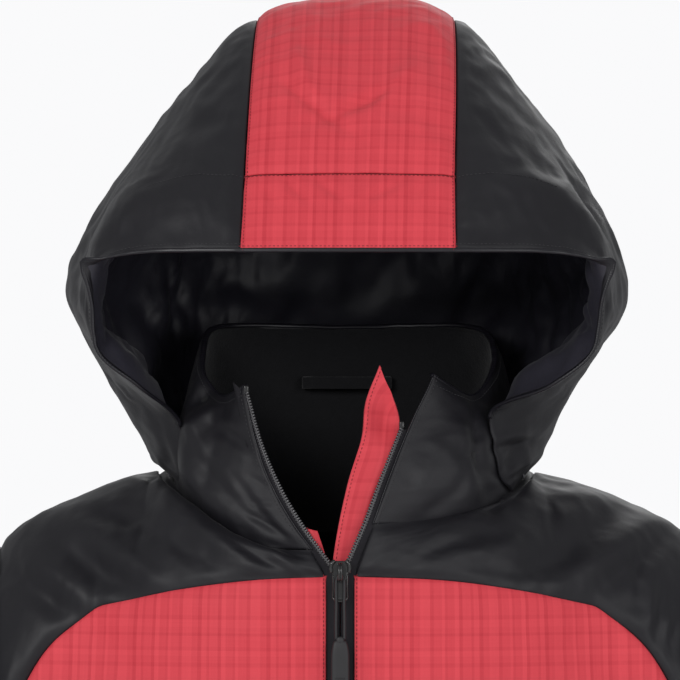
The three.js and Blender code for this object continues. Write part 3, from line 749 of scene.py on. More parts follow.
def ripstop_red(colours):
    """Red checked ripstop: two sets of woven stripes and slubs summed, with a raised grid of ribs."""
    f = Finish("ripstop_red")
    x, y, _ = f.split(f.grain())
    sets = []
    for wire, stripes in ((x, CHECK_ALONG), (y, CHECK_ACROSS)):
        stops, repeat = stripe_stops(stripes)
        sets.append(f.add("ShaderNodeValToRGB", {"stops": stops}, {"Fac": (wire * (1 / repeat)).part()})[0])
    slub_up = f.noise(f.scaled(f.grain(), (900, 25, 1)), 1.0, 3.0)
    slub_across = f.noise(f.scaled(f.grain(), (30, 1100, 1)), 1.0, 3.0)
    cloud = f.noise(f.place(), 14.0, 3.0)
    tone = sets[0] * 0.46 + sets[1] * 0.26 + slub_up * 0.2 + slub_across * 0.14 + cloud * 0.22 - 0.14
    rib_x = ((x * (1 / 0.0021)).part() - 0.5).size() ** 12 * 4000
    rib_y = ((y * (1 / 0.0024)).part() - 0.5).size() ** 12 * 4000
    weave = (x * 9000).math("SINE") * (y * 9000).math("SINE")
    colour = f.mix(tone, toned(colours.red_deep), toned(colours.red_light))
    low = f.bump(rib_x + rib_y + weave * 0.3, 0.00005, 0.5)
    normal = f.bump(slub_up + slub_across, 0.00012, 0.4, low)
    rough = cloud * 0.16 + 0.5
    return f.surface(Base_Color=colour, Roughness=rough, Normal=normal, Specular_IOR_Level=0.16,
                     Sheen_Weight=0.05, Sheen_Roughness=0.4)


def nylon_black(colours):
    """Black nylon: a cloudy, slubbed shade over the product of two fine sines as its weave."""
    f = Finish("nylon_black")
    x, y, _ = f.split(f.grain())
    cloud = f.noise(f.place(), 22.0, 3.0)
    slub = f.noise(f.scaled(f.grain(), (1100, 60, 1)), 1.0, 3.0)
    weave = (x * 8000).math("SINE") * (y * 8000).math("SINE")
    colour = f.mix(cloud * 0.6 + slub * 0.4, toned(colours.nylon, 0.72), toned(colours.nylon, 1.35))
    soft = f.bump(f.noise(f.place(), 160.0, 4.0), 0.0005, 0.35)
    normal = f.bump(slub + weave * 0.4, 0.00008, 0.35, soft)
    return f.surface(Base_Color=colour, Roughness=cloud * 0.2 + 0.42, Normal=normal, Specular_IOR_Level=0.34,
                     Sheen_Weight=0.03, Sheen_Roughness=0.4)


def lining_taffeta(colours):
    """Smooth dark lining with fine creases."""
    f = Finish("lining_taffeta")
    cloud = f.noise(f.place(), 30.0, 3.0)
    fine = f.noise(f.place(), 900.0, 2.0)
    crease = f.noise(f.place(), 90.0, 5.0, 0.6)
    colour = f.mix(cloud, toned(colours.lining, 0.7), toned(colours.lining, 1.4))
    normal = f.bump(fine, 0.00005, 0.3, f.bump(crease, 0.0009, 0.5))
    return f.surface(Base_Color=colour, Roughness=cloud * 0.16 + 0.42, Normal=normal, Specular_IOR_Level=0.4,
                     Sheen_Weight=0.1, Sheen_Roughness=0.3)


def fleece_knit(colours):
    """Matt fleece: small tufts under a fine pile."""
    f = Finish("fleece_knit")
    pile = f.noise(f.place(), 700.0, 5.0, 0.7)
    tuft = f.noise(f.place(), 160.0, 3.0)
    colour = f.mix(pile * 0.6 + tuft * 0.4, toned(colours.fleece, 0.35), toned(colours.fleece, 1.8))
    normal = f.bump(pile + tuft, 0.0007, 0.8)
    return f.surface(Base_Color=colour, Roughness=tuft * 0.1 + 0.88, Normal=normal, Specular_IOR_Level=0.1,
                     Sheen_Weight=0.12, Sheen_Roughness=0.6)


def tape_woven(colours):
    """Woven zip tape: the product of two slanting sines as its twill."""
    f = Finish("tape_woven")
    x, _, z = f.split(f.place())
    twill = ((x + z) * 5200).math("SINE") * ((x - z) * 5200).math("SINE")
    fuzz = f.noise(f.place(), 500.0, 3.0)
    colour = f.mix(twill * 0.2 + fuzz * 0.7, toned(colours.tape, 0.6), toned(colours.tape, 1.6))
    normal = f.bump(twill * 0.5 + fuzz, 0.0002, 0.5)
    return f.surface(Base_Color=colour, Roughness=fuzz * 0.2 + 0.66, Normal=normal, Specular_IOR_Level=0.25)


def coil_plastic(colours):
    """Moulded zip teeth, a little worn."""
    f = Finish("coil_plastic")
    wear = f.noise(f.place(), 420.0, 3.0)
    colour = f.mix(wear, toned(colours.coil), toned(colours.coil, 2.2))
    return f.surface(Base_Color=colour, Roughness=wear * 0.2 + 0.22, Normal=f.bump(wear, 0.0001, 0.3),
                     Specular_IOR_Level=0.7)


def gunmetal(colours):
    """Dark plated metal, brushed upright and spotted."""
    f = Finish("gunmetal")
    brushed = f.noise(f.scaled(f.place(), (700, 700, 60)), 1.0, 4.0)
    spots = f.noise(f.place(), 260.0, 4.0, 0.65)
    colour = f.mix(spots ** 2.0 * 2, toned(colours.gunmetal), toned(colours.gunmetal, 2.6))
    return f.surface(Base_Color=colour, Roughness=spots * 0.22 + brushed * 0.12 + 0.14, Metallic=1.0,
                     Normal=f.bump(brushed, 0.00006, 0.4))


def rubber_soft(colours):
    """Soft moulded rubber with a fine grain."""
    f = Finish("rubber_soft")
    grain = f.noise(f.place(), 1500.0, 3.0)
    cloud = f.noise(f.place(), 120.0, 3.0)
    colour = f.mix(cloud, toned(colours.rubber, 0.8), toned(colours.rubber, 1.4))
    return f.surface(Base_Color=colour, Roughness=cloud * 0.14 + 0.46, Normal=f.bump(grain, 0.00008, 0.5),
                     Specular_IOR_Level=0.4)


def thread_finish(name, colour):
    """Twisted sewing thread of a colour."""
    f = Finish(name)
    twist = f.noise(f.place(), 2200.0, 2.0)
    shade = f.mix(twist, toned(colour, 0.7), toned(colour, 1.3))
    return f.surface(Base_Color=shade, Roughness=twist * 0.2 + 0.5, Normal=f.bump(twist, 0.0001, 0.5))


def binding_nylon(colours):
    """Binding tape, ribbed by a sine along its height."""
    f = Finish("binding_nylon")
    cloud = f.noise(f.place(), 90.0, 3.0)
    rib = (f.split(f.place())[2] * 4200).math("SINE")
    colour = f.mix(cloud, toned(colours.nylon), toned(colours.nylon, 1.5))
    normal = f.bump(rib * 0.3 + cloud, 0.0002, 0.5)
    return f.surface(Base_Color=colour, Roughness=cloud * 0.15 + 0.3, Normal=normal, Specular_IOR_Level=0.35)


def foam_sheet(colours):
    """Dark foam with open cells."""
    f = Finish("foam_sheet")
    cells = f.noise(f.place(), 800.0, 4.0)
    colour = f.mix(cells, (0.02, 0.02, 0.022), (0.05, 0.05, 0.055))
    return f.surface(Base_Color=colour, Roughness=cells * 0.1 + 0.8, Normal=f.bump(cells, 0.0003, 0.6))


def floor_pale(colours):
    """The pale floor of the stage."""
    f = Finish("floor_pale")
    cloud = f.noise(f.place(), 2.0, 2.0)
    colour = f.mix(cloud, (0.78, 0.78, 0.79), (0.84, 0.84, 0.85))
    return f.surface(Base_Color=colour, Roughness=cloud * 0.1 + 0.6)


MAKERS = {
    "ripstop_red": ripstop_red, "nylon_black": nylon_black, "lining_taffeta": lining_taffeta,
    "fleece_knit": fleece_knit, "tape_woven": tape_woven, "coil_plastic": coil_plastic, "gunmetal": gunmetal,
    "rubber_soft": rubber_soft, "binding_nylon": binding_nylon, "foam_sheet": foam_sheet,
    "floor_pale": floor_pale,
    "thread_red": lambda colours: thread_finish("thread_red", toned(colours.thread_red)),
    "thread_black": lambda colours: thread_finish("thread_black", toned(colours.thread_black)),
}


def finish(name):
    """A material by name, made the first time that it is asked for."""
    return bpy.data.materials.get(name) or MAKERS[name](bpy.context.scene.jacket_colours)


# ---------- sizes and colours that a user may change ----------


def size_of(name, description, default):
    """A length that a user may change."""
    return bpy.props.FloatProperty(name=name, description=description, default=default, min=0, unit="LENGTH")


def colour_of(name, description, default):
    """A colour that a user may change."""
    return bpy.props.FloatVectorProperty(name=name, description=description, default=default, size=3, min=0,
                                         max=1, subtype="COLOR")


class JacketSizes(bpy.types.PropertyGroup):
    """Sizes of the trims and the padding, in metres."""

    cloth_step: size_of("Cloth step", "Spacing of the points of a padded panel", 0.0052)
    shell_wall: size_of("Shell wall", "Thickness of the padded shell's edge", 0.0024)
    seam_depth: size_of("Seam depth", "How far a sewn seam is drawn in", 0.0032)
    stitch_pitch: size_of("Stitch pitch", "From one stitch to the next", 0.0027)
    stitch_length: size_of("Stitch length", "Length of one stitch", 0.0019)
    stitch_radius: size_of("Stitch radius", "Half the thickness of the thread", 0.00028)
    tooth_pitch: size_of("Tooth pitch", "From one tooth of the main zip to the next", 0.0019)
    cord_diameter: size_of("Cord diameter", "Thickness of the pull's cord", 0.0022)
    binding_radius: size_of("Binding radius", "Half the width of the bound edges", 0.0017)


class JacketColours(bpy.types.PropertyGroup):
    """Colours of the cloths and the hardware, in linear light."""

    red_deep: colour_of("Red, deep", "Dark stripes of the check", (0.44, 0.027, 0.040))
    red_light: colour_of("Red, light", "Light stripes of the check", (0.70, 0.070, 0.088))
    nylon: colour_of("Black nylon", "Shoulders, hood sides and sleeves", (0.0058, 0.0053, 0.0076))
    lining: colour_of("Lining", "Smooth dark lining", (0.020, 0.019, 0.027))
    fleece: colour_of("Fleece", "Inside of the collar and cuffs", (0.0055, 0.0055, 0.0065))
    tape: colour_of("Zip tape", "Woven tapes of the zips", (0.011, 0.010, 0.013))
    coil: colour_of("Zip teeth", "Teeth of the main zip", (0.035, 0.034, 0.036))
    gunmetal: colour_of("Gunmetal", "Sliders and stops", (0.05, 0.05, 0.054))
    rubber: colour_of("Rubber", "Moulded grips", (0.012, 0.0115, 0.013))
    thread_red: colour_of("Red thread", "Topstitching on red cloth", (0.22, 0.012, 0.02))
    thread_black: colour_of("Black thread", "Topstitching on black cloth", (0.022, 0.021, 0.024))


def sizes():
    """The sizes in millimetres."""
    kept = bpy.context.scene.jacket_sizes
    return {name: getattr(kept, name) / MM for name in JacketSizes.__annotations__}


# ---------- padded panels ----------

# Soft folds seen from the front: middle x and z, direction in degrees, half length, half width and height
FOLDS = (
    (-162, -63, -35, 30, 8, -3.6), (-150, -52, -35, 34, 9, 2.0), (-196, -82, -33, 30, 8, -3.4),
    (-184, -70, -33, 30, 8, 1.8), (-140, -30, -14, 30, 9, -1.8), (-163, -22, 6, 26, 5, 1.4),
    (-133, -9, -20, 14, 4, 1.4), (-163, -79, 90, 8, 2.2, -1.3), (-158, -80, 84, 8, 2.2, -1.0),
    (-100, -52, -24, 30, 8, -2.0), (-78, -46, -32, 26, 5, 1.4), (-58, -54, -28, 20, 4, -1.6),
    (-42, -56, -38, 14, 3, 1.4),
    (150, -42, 28, 34, 9, -3.0), (168, -54, 32, 34, 8, 2.2), (186, -60, 40, 30, 7, -3.0),
    (128, -60, 16, 30, 7, -1.8), (92, -50, 12, 26, 6, 1.4), (188, -71, 88, 10, 2.4, -1.6),
    (203, -92, 80, 13, 2.6, -1.8), (212, -104, 76, 12, 2.6, -1.4), (196, -84, 84, 12, 3, 1.2),
    (60, -48, 20, 22, 5, -1.2), (40, -54, 34, 16, 4, 1.0),
    (-70, 20, -34, 18, 4.5, -3.4), (-76, 28, -34, 16, 5, 1.8), (-96, 8, -48, 26, 6, -2.4),
    (-106, 0, -52, 26, 5, 1.6), (-58, -22, -52, 22, 3.2, -2.0), (-50, -28, -50, 20, 3, 1.5),
    (-44, -36, -46, 16, 2.6, -1.6), (-36, -42, -44, 14, 2.4, 1.2), (-78, -14, -40, 24, 5, -1.6),
    (-54, -33, -31, 12, 2.2, -2.2), (-39, -50, -20, 16, 2.0, -1.4), (-54, -8, -28, 8, 2.0, -1.2),
    (-55, -20, 8, 8, 2.2, -1.3), (-92, -2, 74, 22, 4, -1.2), (78, 4, 76, 22, 4, -1.4),
    (108, 8, 60, 14, 3, -1.8), (116, 14, 96, 14, 3, 1.4), (-116, 10, -70, 14, 3, -1.6),
    (86, 15, 100, 30, 4.5, -4.6), (94, 16, 100, 26, 5, 2.2), (104, 15, 8, 22, 3.2, -2.2),
    (104, 22, 12, 20, 3.5, 1.4), (98, -4, -36, 16, 3, -1.8), (112, 2, 30, 18, 3, 1.4),
    (58, 6, 62, 34, 8, 2.2), (66, -16, 40, 26, 5, -1.6),
    (-20, 236, -38, 26, 4, -2.4), (8, 238, 24, 26, 4, -2.6), (30, 248, 50, 20, 5, 2.0),
    (-30, 262, -70, 22, 5, 2.0), (-34, 183, -48, 12, 3, -1.6), (-12, 182, -38, 14, 3, -1.5),
    (24, 181, 28, 14, 3, -1.4), (-50, 178, -60, 9, 3, -1.2), (46, 182, 60, 10, 3, -1.2),
    (-93, 49, 36, 20, 5, -4.0), (-89, 38, 36, 20, 5, 2.6), (83, 54, -48, 18, 5, -4.2),
    (75, 45, -48, 17, 5, 2.6),
    (-120, 190, 50, 44, 12, -2.0), (-140, 168, 44, 40, 9, 1.8), (-104, 222, 56, 34, 9, 1.4),
    (124, 196, -48, 44, 12, -2.0), (142, 172, -44, 40, 9, 1.8), (106, 226, -56, 34, 9, 1.4),
    (-172, 100, 78, 26, 5, 1.6), (-164, 84, 60, 24, 4, -1.8), (-142, 48, 40, 26, 4, 1.6),
    (172, 100, -78, 26, 5, 1.6), (164, 84, -60, 24, 4, -1.8), (142, 48, -40, 26, 4, 1.6),
)

POCKET_V = (ZIP_TOP - POCKET_TOP) / (ZIP_TOP - HEM_Z)


def pocket_place():
    """Where the top of the left pocket is on the chest panel, and the panel's turn there seen from above."""
    beside = np.array([POCKET_U, POCKET_U - 0.02, POCKET_U + 0.02])
    at, right, left = front_panel(LEFT)(beside, np.full(3, POCKET_V + 0.12))
    return np.array([at[0], at[1], POCKET_TOP]), math.atan2(abs(left[1] - right[1]), abs(left[0] - right[0]))


POCKET_PLACE, POCKET_TURN = pocket_place()

PANELS = {}


def folded(panel, scale):
    """The sum of the soft folds on the front, each a bell along its length times a bell across it."""
    p, n = panel.points, panel.normals()
    facing = smooth(-n[..., 1], 0.05, 0.5)
    total = np.zeros(p.shape[:2])
    for x, z, turn, long_way, wide, height in FOLDS:
        c, s = math.cos(math.radians(turn)), math.sin(math.radians(turn))
        a = (p[..., 0] - x) * c + (p[..., 2] - z) * s
        b = (p[..., 2] - z) * c - (p[..., 0] - x) * s
        total += height * np.exp(-((a / long_way) ** 2) - (b / wide) ** 2)
    return total * facing * scale


def ripple(s, length, seed):
    """Uneven gathers along a seam: a sine whose pace and height drift."""
    turn = 2 * np.pi * s / length
    drift = 2.2 * np.sin(turn / 3.7 + seed)
    return np.sin(turn + drift) * (0.55 + 0.45 * np.sin(turn / 5.3 + 2 * seed))


def pad(panel, sunk, fill):
    """Shapes a panel like stuffed cloth: drawn in at its sewn edges by sunk, crowned by fill between them,
    gathered beside the seams, with soft waves."""
    soft, seed = panel.soft, panel.seed
    nearest = np.minimum.reduce(panel.edges)
    room = 1 - np.exp(-((nearest / 14) ** 2))
    amount = fill * (1 - np.exp(-nearest / 24)) - 1.5
    for k, depth in enumerate(sunk):
        far = panel.edges[k]
        ending = 1 - np.exp(-((panel.edges[2] / 14) ** 2)) if k < 2 and sunk[2] < 0.4 else 1
        amount = amount - depth * np.exp(-((far / 5.0) ** 2)) * ending
        beside = panel.along if k < 2 else panel.across
        gather = ripple(beside, 14 + 3 * k, seed + k) * np.exp(-far / 11) * (1 - np.exp(-far / 2.5))
        amount = amount + gather * soft * (0.9 if depth > 1 else 0.5)
    p = panel.points
    amount = amount + (waves(p, 105, seed) * 1.7 + waves(p, 47, seed + 50) * 0.7) * room * soft
    return panel.push(amount)


def crease(panel):
    """Adds what lies on the swollen cloth: large and small crumples, gathers in the seams, and the folds."""
    nearest = np.minimum.reduce(panel.edges)
    room = 1 - np.exp(-((nearest / 8) ** 2))
    p = panel.points
    rough = crumple(p, 70, panel.seed + 80) * 1.1 + crumple(p * [1.3, 1, 0.6], 34, panel.seed + 90) * 0.35
    rough = rough + crumple(p * [0.6, 1, 1.6], 30, panel.seed + 95) * 0.25
    height = 1.1 if panel.node == "collar_shell" else 1.7
    panel.push(rough * room * panel.soft + folded(panel, height) * (0.3 + 0.7 * room))


NYLON = ("nylon_black", "shell_black")
RIPSTOP = ("ripstop_red", "shell_red")
UPRIGHT = {"grain": "upright"}


def cut_panels():
    """Every padded panel: its name and node, its cloth and how much that grows, its surface and the part of
    it, the fineness of its grid, its outward side, how far each edge is drawn in, its fill and softness."""
    step, deep = sizes()["cloth_step"], sizes()["seam_depth"]
    all_deep = (deep,) * 4
    middle = (-PANEL_SEAM, PANEL_SEAM)
    table = []
    for side, word in SIDES:
        front, yoke, arm = for_side(front_panel, side), for_side(front_yoke, side), arm_of(side)
        span = (PANEL_SEAM, 1) if side == LEFT else (-1, -PANEL_SEAM)
        outer = (1.6, 0.4, 0.3, deep) if side == LEFT else (0.4, 1.6, 0.3, deep)
        ahead, behind = (-FRONT_ARM_SEAM, FRONT_ARM_SEAM), (FRONT_ARM_SEAM, 1 - FRONT_ARM_SEAM)
        table += [
            (f"front_padding_{word}", f"front_panel_{word}", RIPSTOP, 0.35, front, (0, 1), (0, HEM_START),
             1.15, -side, (0.3, deep, deep * 0.8, deep), 2.6, 0.65, UPRIGHT),
            (f"yoke_padding_{word}", f"yoke_front_{word}", NYLON, 1.0, yoke, (0, 1), (0, 1),
             0.7, -side, (0.5, deep, 1.2, deep * 0.8), 3.4, 1.0, {}),
            (f"sleeve_top_padding_{word}", f"sleeve_outer_{word}", NYLON, 1.0, arm, ahead, (0, CUFF_START),
             1.35, side, all_deep, 4.0, 1.5, {}),
            (f"sleeve_back_padding_{word}", f"sleeve_under_{word}", NYLON, 1.0, arm, behind, (0, CUFF_START),
             1.35, side, all_deep, 4.0, 1.5, {}),
            (f"hood_side_padding_{word}", f"hood_side_{word}", NYLON, 0.8, hood, span, (0, 1),
             0.78, 1, outer, 3.4, 0.9, {"corner": 16.0}),
        ]
    table += [
        ("back_padding", "back_panel", RIPSTOP, 0.35, back_panel, (-1, 1), (0, HEM_START),
         1.4, 1, all_deep, 2.6, 0.8, UPRIGHT),
        ("yoke_back_padding", "yoke_back", NYLON, 1.0, yoke_back, (-1, 1), (0, 1),
         1.1, 1, all_deep, 3.4, 1.0, {}),
        ("hood_peak_padding", "hood_peak_panel", RIPSTOP, 0.3, hood, middle, (0, PEAK_SEAM),
         0.5, 1, (1.6, 1.6, 0.3, 1.6), 1.2, 0.35, {}),
        ("hood_centre_padding", "hood_centre_panel", RIPSTOP, 0.35, hood, middle, (PEAK_SEAM, 1),
         0.6, 1, (1.6, 1.6, 1.6, deep), 1.8, 0.75, {}),
        ("collar_padding", "collar_shell", NYLON, 0.8, collar, (0, 1), (0, 1),
         0.58, -1, (0.4, 0.4, 0.8, 0.6), 3.4, 0.9, {}),
    ]
    for number, row in enumerate(table):
        name, node, cloth, growth, surface, u, v, fine, out, sunk, fill, soft, more = row
        panel = Panel(name, surface, u, v, step * fine, out, **more)
        if u == (-1, 1):
            panel.ease(30)
        panel.node, panel.growth, panel.soft, panel.seed = node, growth, soft, number * 7 + 3
        panel.cloth, panel.slot = cloth
        panel.pins = pins_of(panel)
        pad(panel, sunk, fill)
        if name.startswith("front_padding"):
            beside_pocket(panel)
        PANELS[name] = panel


def pins_of(panel):
    """How firmly each point is held while the padding swells: 1 at its edges, falling to 0 inside."""
    return 1 - smooth(np.minimum.reduce(panel.edges), 2.0, 9.0)


def beside_pocket(panel):
    """Flattens the chest panel round its pocket, so that the welt lies on it."""
    p = panel.points
    side = np.sign(p[..., 0].mean())
    x = p[..., 0] - side * POCKET_PLACE[0]
    z = np.clip(p[..., 2], POCKET_PLACE[2] - POCKET_LENGTH, POCKET_PLACE[2])
    far = np.hypot(x, p[..., 2] - z)
    near = np.exp(-((far / 17) ** 2))
    panel.push(-2.2 * near)
    panel.pins = np.maximum(panel.pins, smooth(near, 0.1, 0.6))


def swell(panels, frames=12, cap=6.5):
    """Blows the padded panels up as one cloth that is held along every seam and is a little too large, so
    that it gathers, then keeps each point within cap of where it was."""
    points = np.concatenate([panel.points.reshape(-1, 3) for panel in panels])
    starts = np.cumsum([0] + [panel.points.size // 3 for panel in panels])
    faces = np.concatenate([panel.faces(start) for panel, start in zip(panels, starts)])
    blank = mesh_object("padding_cloth", points, faces, finish("nylon_black"))
    pins = blank.vertex_groups.new(name="pins")
    growth = blank.vertex_groups.new(name="growth")
    held = np.concatenate([panel.pins.ravel() for panel in panels])
    for level in np.unique(np.round(held, 1)):
        pins.add(np.flatnonzero(np.round(held, 1) == level).tolist(), float(level), "REPLACE")
    for panel, start, end in zip(panels, starts, starts[1:]):
        growth.add(list(range(start, end)), panel.growth, "REPLACE")
    cloth = blank.modifiers.new("cloth", "CLOTH")
    s = cloth.settings
    s.quality, s.mass, s.air_damping = 4, 0.25, 2.0
    s.tension_stiffness = s.compression_stiffness = 12
    s.shear_stiffness, s.bending_stiffness = 4, 0.08
    s.tension_damping = s.compression_damping = 6
    s.use_pressure, s.uniform_pressure_force = True, 3.0
    s.vertex_group_mass = "pins"
    s.vertex_group_shrink, s.shrink_min, s.shrink_max = "growth", 0.0, -0.03
    s.effector_weights.gravity = 0
    cloth.collision_settings.use_collision = False
    cloth.point_cache.frame_start, cloth.point_cache.frame_end = 1, frames
    scene = bpy.context.scene
    for number in range(1, frames + 1):
        scene.frame_set(number)
    shown = blank.evaluated_get(bpy.context.evaluated_depsgraph_get()).to_mesh()
    moved = np.zeros(len(shown.vertices) * 3, np.float32)
    shown.vertices.foreach_get("co", moved)
    scene.frame_set(1)
    bpy.data.objects.remove(blank)
    shift = moved.reshape(-1, 3).astype(float) / MM - points
    length = np.linalg.norm(shift, axis=1, keepdims=True)
    shift *= np.minimum(1, cap / np.maximum(length, 1e-6))
    for panel, start, end in zip(panels, starts, starts[1:]):
        own = shift[start:end].reshape(panel.points.shape)
        panel.points = panel.points + own * (1 - panel.pins)[..., None]


def padded_piece(name):
    """A padded panel as a finished piece on the jacket's body."""
    panel = PANELS[name]
    piece = thicken(panel.build(panel.cloth), sizes()["shell_wall"])
    attach(piece, "jacket", panel.slot, panel.node)
    return piece


def solid(name, parts, colour, body, slot, *nodes):
    """Several parts as one finished piece."""
    return attach(mesh_object(name, *gathered(parts), finish(colour)), body, slot, *nodes)


def stitched(name, rows, colour, lift=0.05, slot="shell_black"):
    """Rows of stitches as one piece; each row is a line of points and normals."""
    kept = sizes()
    pitch, length, radius = (kept["stitch_" + word] for word in ("pitch", "length", "radius"))
    return solid(name, [thread(*row, pitch, length, radius, lift) for row in rows], colour, "jacket", slot)


def bound(name, lines, radius, flat, lift=0.0, colour="binding_nylon", step=2.2):
    """Bound, piped or taped edges as one piece."""
    parts = [tube(*line, radius, step, 8, flat, lift) for line in lines]
    return solid(name, parts, colour, "jacket", "shell_black")


def thin_cloth(panel, colour, slot, nodes, wall=0.8, levels=1, held=None):
    """A thin cloth piece, such as a lining, from a panel. For one that is held as a sheet, the size it was
    cut to is worked out but not kept."""
    piece = thicken(panel.build(colour), wall, levels)
    attach(piece, "jacket", slot, *nodes)
    if held:
        width, length, area = panel.flat()
    return piece


def end_to_end(*lines):
    """Lines of points and normals joined into one, without the doubled points where they meet."""
    points = np.concatenate([line for line, _ in lines])
    normals = np.concatenate([n for _, n in lines])
    keep = np.concatenate([[True], np.linalg.norm(np.diff(points, axis=0), axis=1) > 0.05])
    return points[keep], normals[keep]


def turned_round(line):
    """A line of points and normals, run the other way."""
    return line[0][::-1], line[1][::-1]


def cut_line(line, start, end):
    """The part of a line between two distances from its start."""
    at = measure(line[0])
    keep = (at >= start) & (at <= end)
    return line[0][keep], line[1][keep]


# ---------- the pieces ----------

# Name, place in metres, size in metres and power in watts
LAMPS = (
    ("key", (-1.35, -3.0, 1.05), 1.2, 50), ("fill", (1.7, -2.9, 0.45), 1.6, 27),
    ("top", (0.2, 0.3, 2.6), 1.6, 3), ("rim", (0.4, 2.6, 1.4), 1.6, 16),
)
LAMPS_AIM = (0, 0, 0.02)
CAMERA_PLACE = (-0.0046, -4.11, 0.0845)
CAMERA_LENS, CAMERA_SENSOR = 330.0, 36.0
FLOOR_Z, FLOOR_RADIUS = -742, 3000


def build_stage():
    """The camera, a soft world, four lamps and a round floor."""
    scene = bpy.context.scene
    scene.view_settings.view_transform = "Standard"
    camera = bpy.data.objects.new("camera", bpy.data.cameras.new("camera"))
    scene.collection.objects.link(camera)
    camera.data.lens, camera.data.sensor_width, camera.data.clip_end = CAMERA_LENS, CAMERA_SENSOR, 60
    camera.location, camera.rotation_euler = CAMERA_PLACE, (math.pi / 2, 0, 0)
    scene.camera = camera
    world = bpy.data.worlds.new("studio")
    scene.world = world
    world.use_nodes = True
    nodes, links = world.node_tree.nodes, world.node_tree.links
    nodes.clear()
    seen, soft = nodes.new("ShaderNodeBackground"), nodes.new("ShaderNodeBackground")
    seen.inputs["Color"].default_value = (0.955, 0.955, 0.965, 1)
    soft.inputs["Color"].default_value = (0.97, 0.98, 1.0, 1)
    soft.inputs["Strength"].default_value = 0.44
    ray, mix = nodes.new("ShaderNodeLightPath"), nodes.new("ShaderNodeMixShader")
    links.new(ray.outputs["Is Camera Ray"], mix.inputs[0])
    links.new(soft.outputs[0], mix.inputs[1])
    links.new(seen.outputs[0], mix.inputs[2])
    links.new(mix.outputs[0], nodes.new("ShaderNodeOutputWorld").inputs[0])
    for name, place, size, power in LAMPS:
        lamp = bpy.data.lights.new(name, "AREA")
        lamp.size, lamp.energy = size, power
        holder = bpy.data.objects.new(name, lamp)
        scene.collection.objects.link(holder)
        holder.location = place
        x, y, z = np.array(LAMPS_AIM) - np.array(place)
        holder.rotation_euler = (math.atan2(math.hypot(x, y), -z), 0, math.atan2(-x, y))
    a = np.arange(64) / 64 * 2 * np.pi
    rim = np.stack([np.cos(a) * FLOOR_RADIUS, np.sin(a) * FLOOR_RADIUS, 0 * a + FLOOR_Z], -1)
    floor = mesh_object("floor", rim, [list(range(64))], finish("floor_pale"), smooth_faces=False)


PULL_Y = ZIP_Y - 4.7
GRIP_TOP = -107.0
CORD_ROUTE = [
    [-7.1, PULL_Y, GRIP_TOP + 0.5], [-7.2, PULL_Y, -96], [-7.0, PULL_Y, -84], [-7.2, PULL_Y, -74],
    [-6.8, PULL_Y, -68.5], [-4.5, PULL_Y, -65.4], [-2.2, PULL_Y, -68.5], [-1.8, PULL_Y, -74],
    [-2.0, PULL_Y, -84], [-1.8, PULL_Y, -96], [-1.9, PULL_Y, GRIP_TOP + 0.5],
]
CORD_STEP = 0.9


def build_cord():
    """The pull's cord: a tube along a smooth loop, its radius swelling and thinning like twisted cord."""
    diameter = sizes()["cord_diameter"]
    route = spline(CORD_ROUTE, np.linspace(0, 1, 90))
    ahead = np.tile([0.0, -1.0, 0.0], (len(route), 1))
    line, _, _ = resampled(route, ahead, CORD_STEP)
    twist = 1 + 0.035 * np.cos(np.arange(len(line)) * np.pi)
    part = tube(route, ahead, diameter / 2 * twist, CORD_STEP, 10)
    piece = solid("pull_cord", [part], "rubber_soft", "main_pull", "pull_rubber", "main_pull_cord")
    length = float(measure(line)[-1]) * MM
    diameter * MM


HOOD_SIDES = ["hood_side_padding_right", "hood_side_padding_left"]
RIM_END = 4.1 / 7  # the hood's free edge ends here, at the collar's wings


def build_hood():
    """The hood's padded panels, its bound free edge, its stitches and the insert in its peak."""
    for name in [*HOOD_SIDES, "hood_peak_padding", "hood_centre_padding"]:
        padded_piece(name)
    right, left = (PANELS[name] for name in HOOD_SIDES)
    peak, centre = PANELS["hood_peak_padding"], PANELS["hood_centre_padding"]
    kept = int(len(left.points) * RIM_END) + 1

    def down(panel, far, inset=0.0):
        return tuple(part[:kept] for part in panel.line(u=far, inset=inset))

    over = [panel.line(v=0) for panel in (right, peak, left)]
    rim = end_to_end(turned_round(down(right, 0)), *over, down(left, 1))
    bound("hood_edge_binding", [rim], sizes()["binding_radius"], 0.8, -1.0)
    black = [end_to_end(turned_round(down(right, 0, 4)), right.line(v=0, inset=4)),
             end_to_end(left.line(v=0, inset=4), down(left, 1, 4))]
    for panel in (left, right):
        row = round(PEAK_SEAM * (len(panel.points) - 1))
        line = panel.points[row], panel.normals()[row]
        black.append(cut_line(turned_round(line) if panel is right else line, 1, 68))
    stitched("hood_black_stitching", black, "thread_black")
    red = [peak.line(v=0, inset=2.4), peak.line(u=0, inset=1.9), peak.line(u=1, inset=1.9),
           peak.line(v=1, inset=1.4), centre.line(u=0, inset=1.9), centre.line(u=1, inset=1.9)]
    stitched("hood_red_stitching", red, "thread_red", 0.1, "shell_red")
    stiffener = Panel("peak_insert", hood, (-0.5, 0.5), (0.02, 0.12), 6).push(-5)
    thin_cloth(stiffener, "foam_sheet", "foam", ["hood_peak_stiffener"], 1.0, 0)
    build_hood_lining()


def hood_drawn_in(u, v):
    """The hood's face, a little narrower towards the neck, where the lining is gathered."""
    return hood(u * (0.995 - 0.06 * smooth(v, 0.5, 0.7)), v)


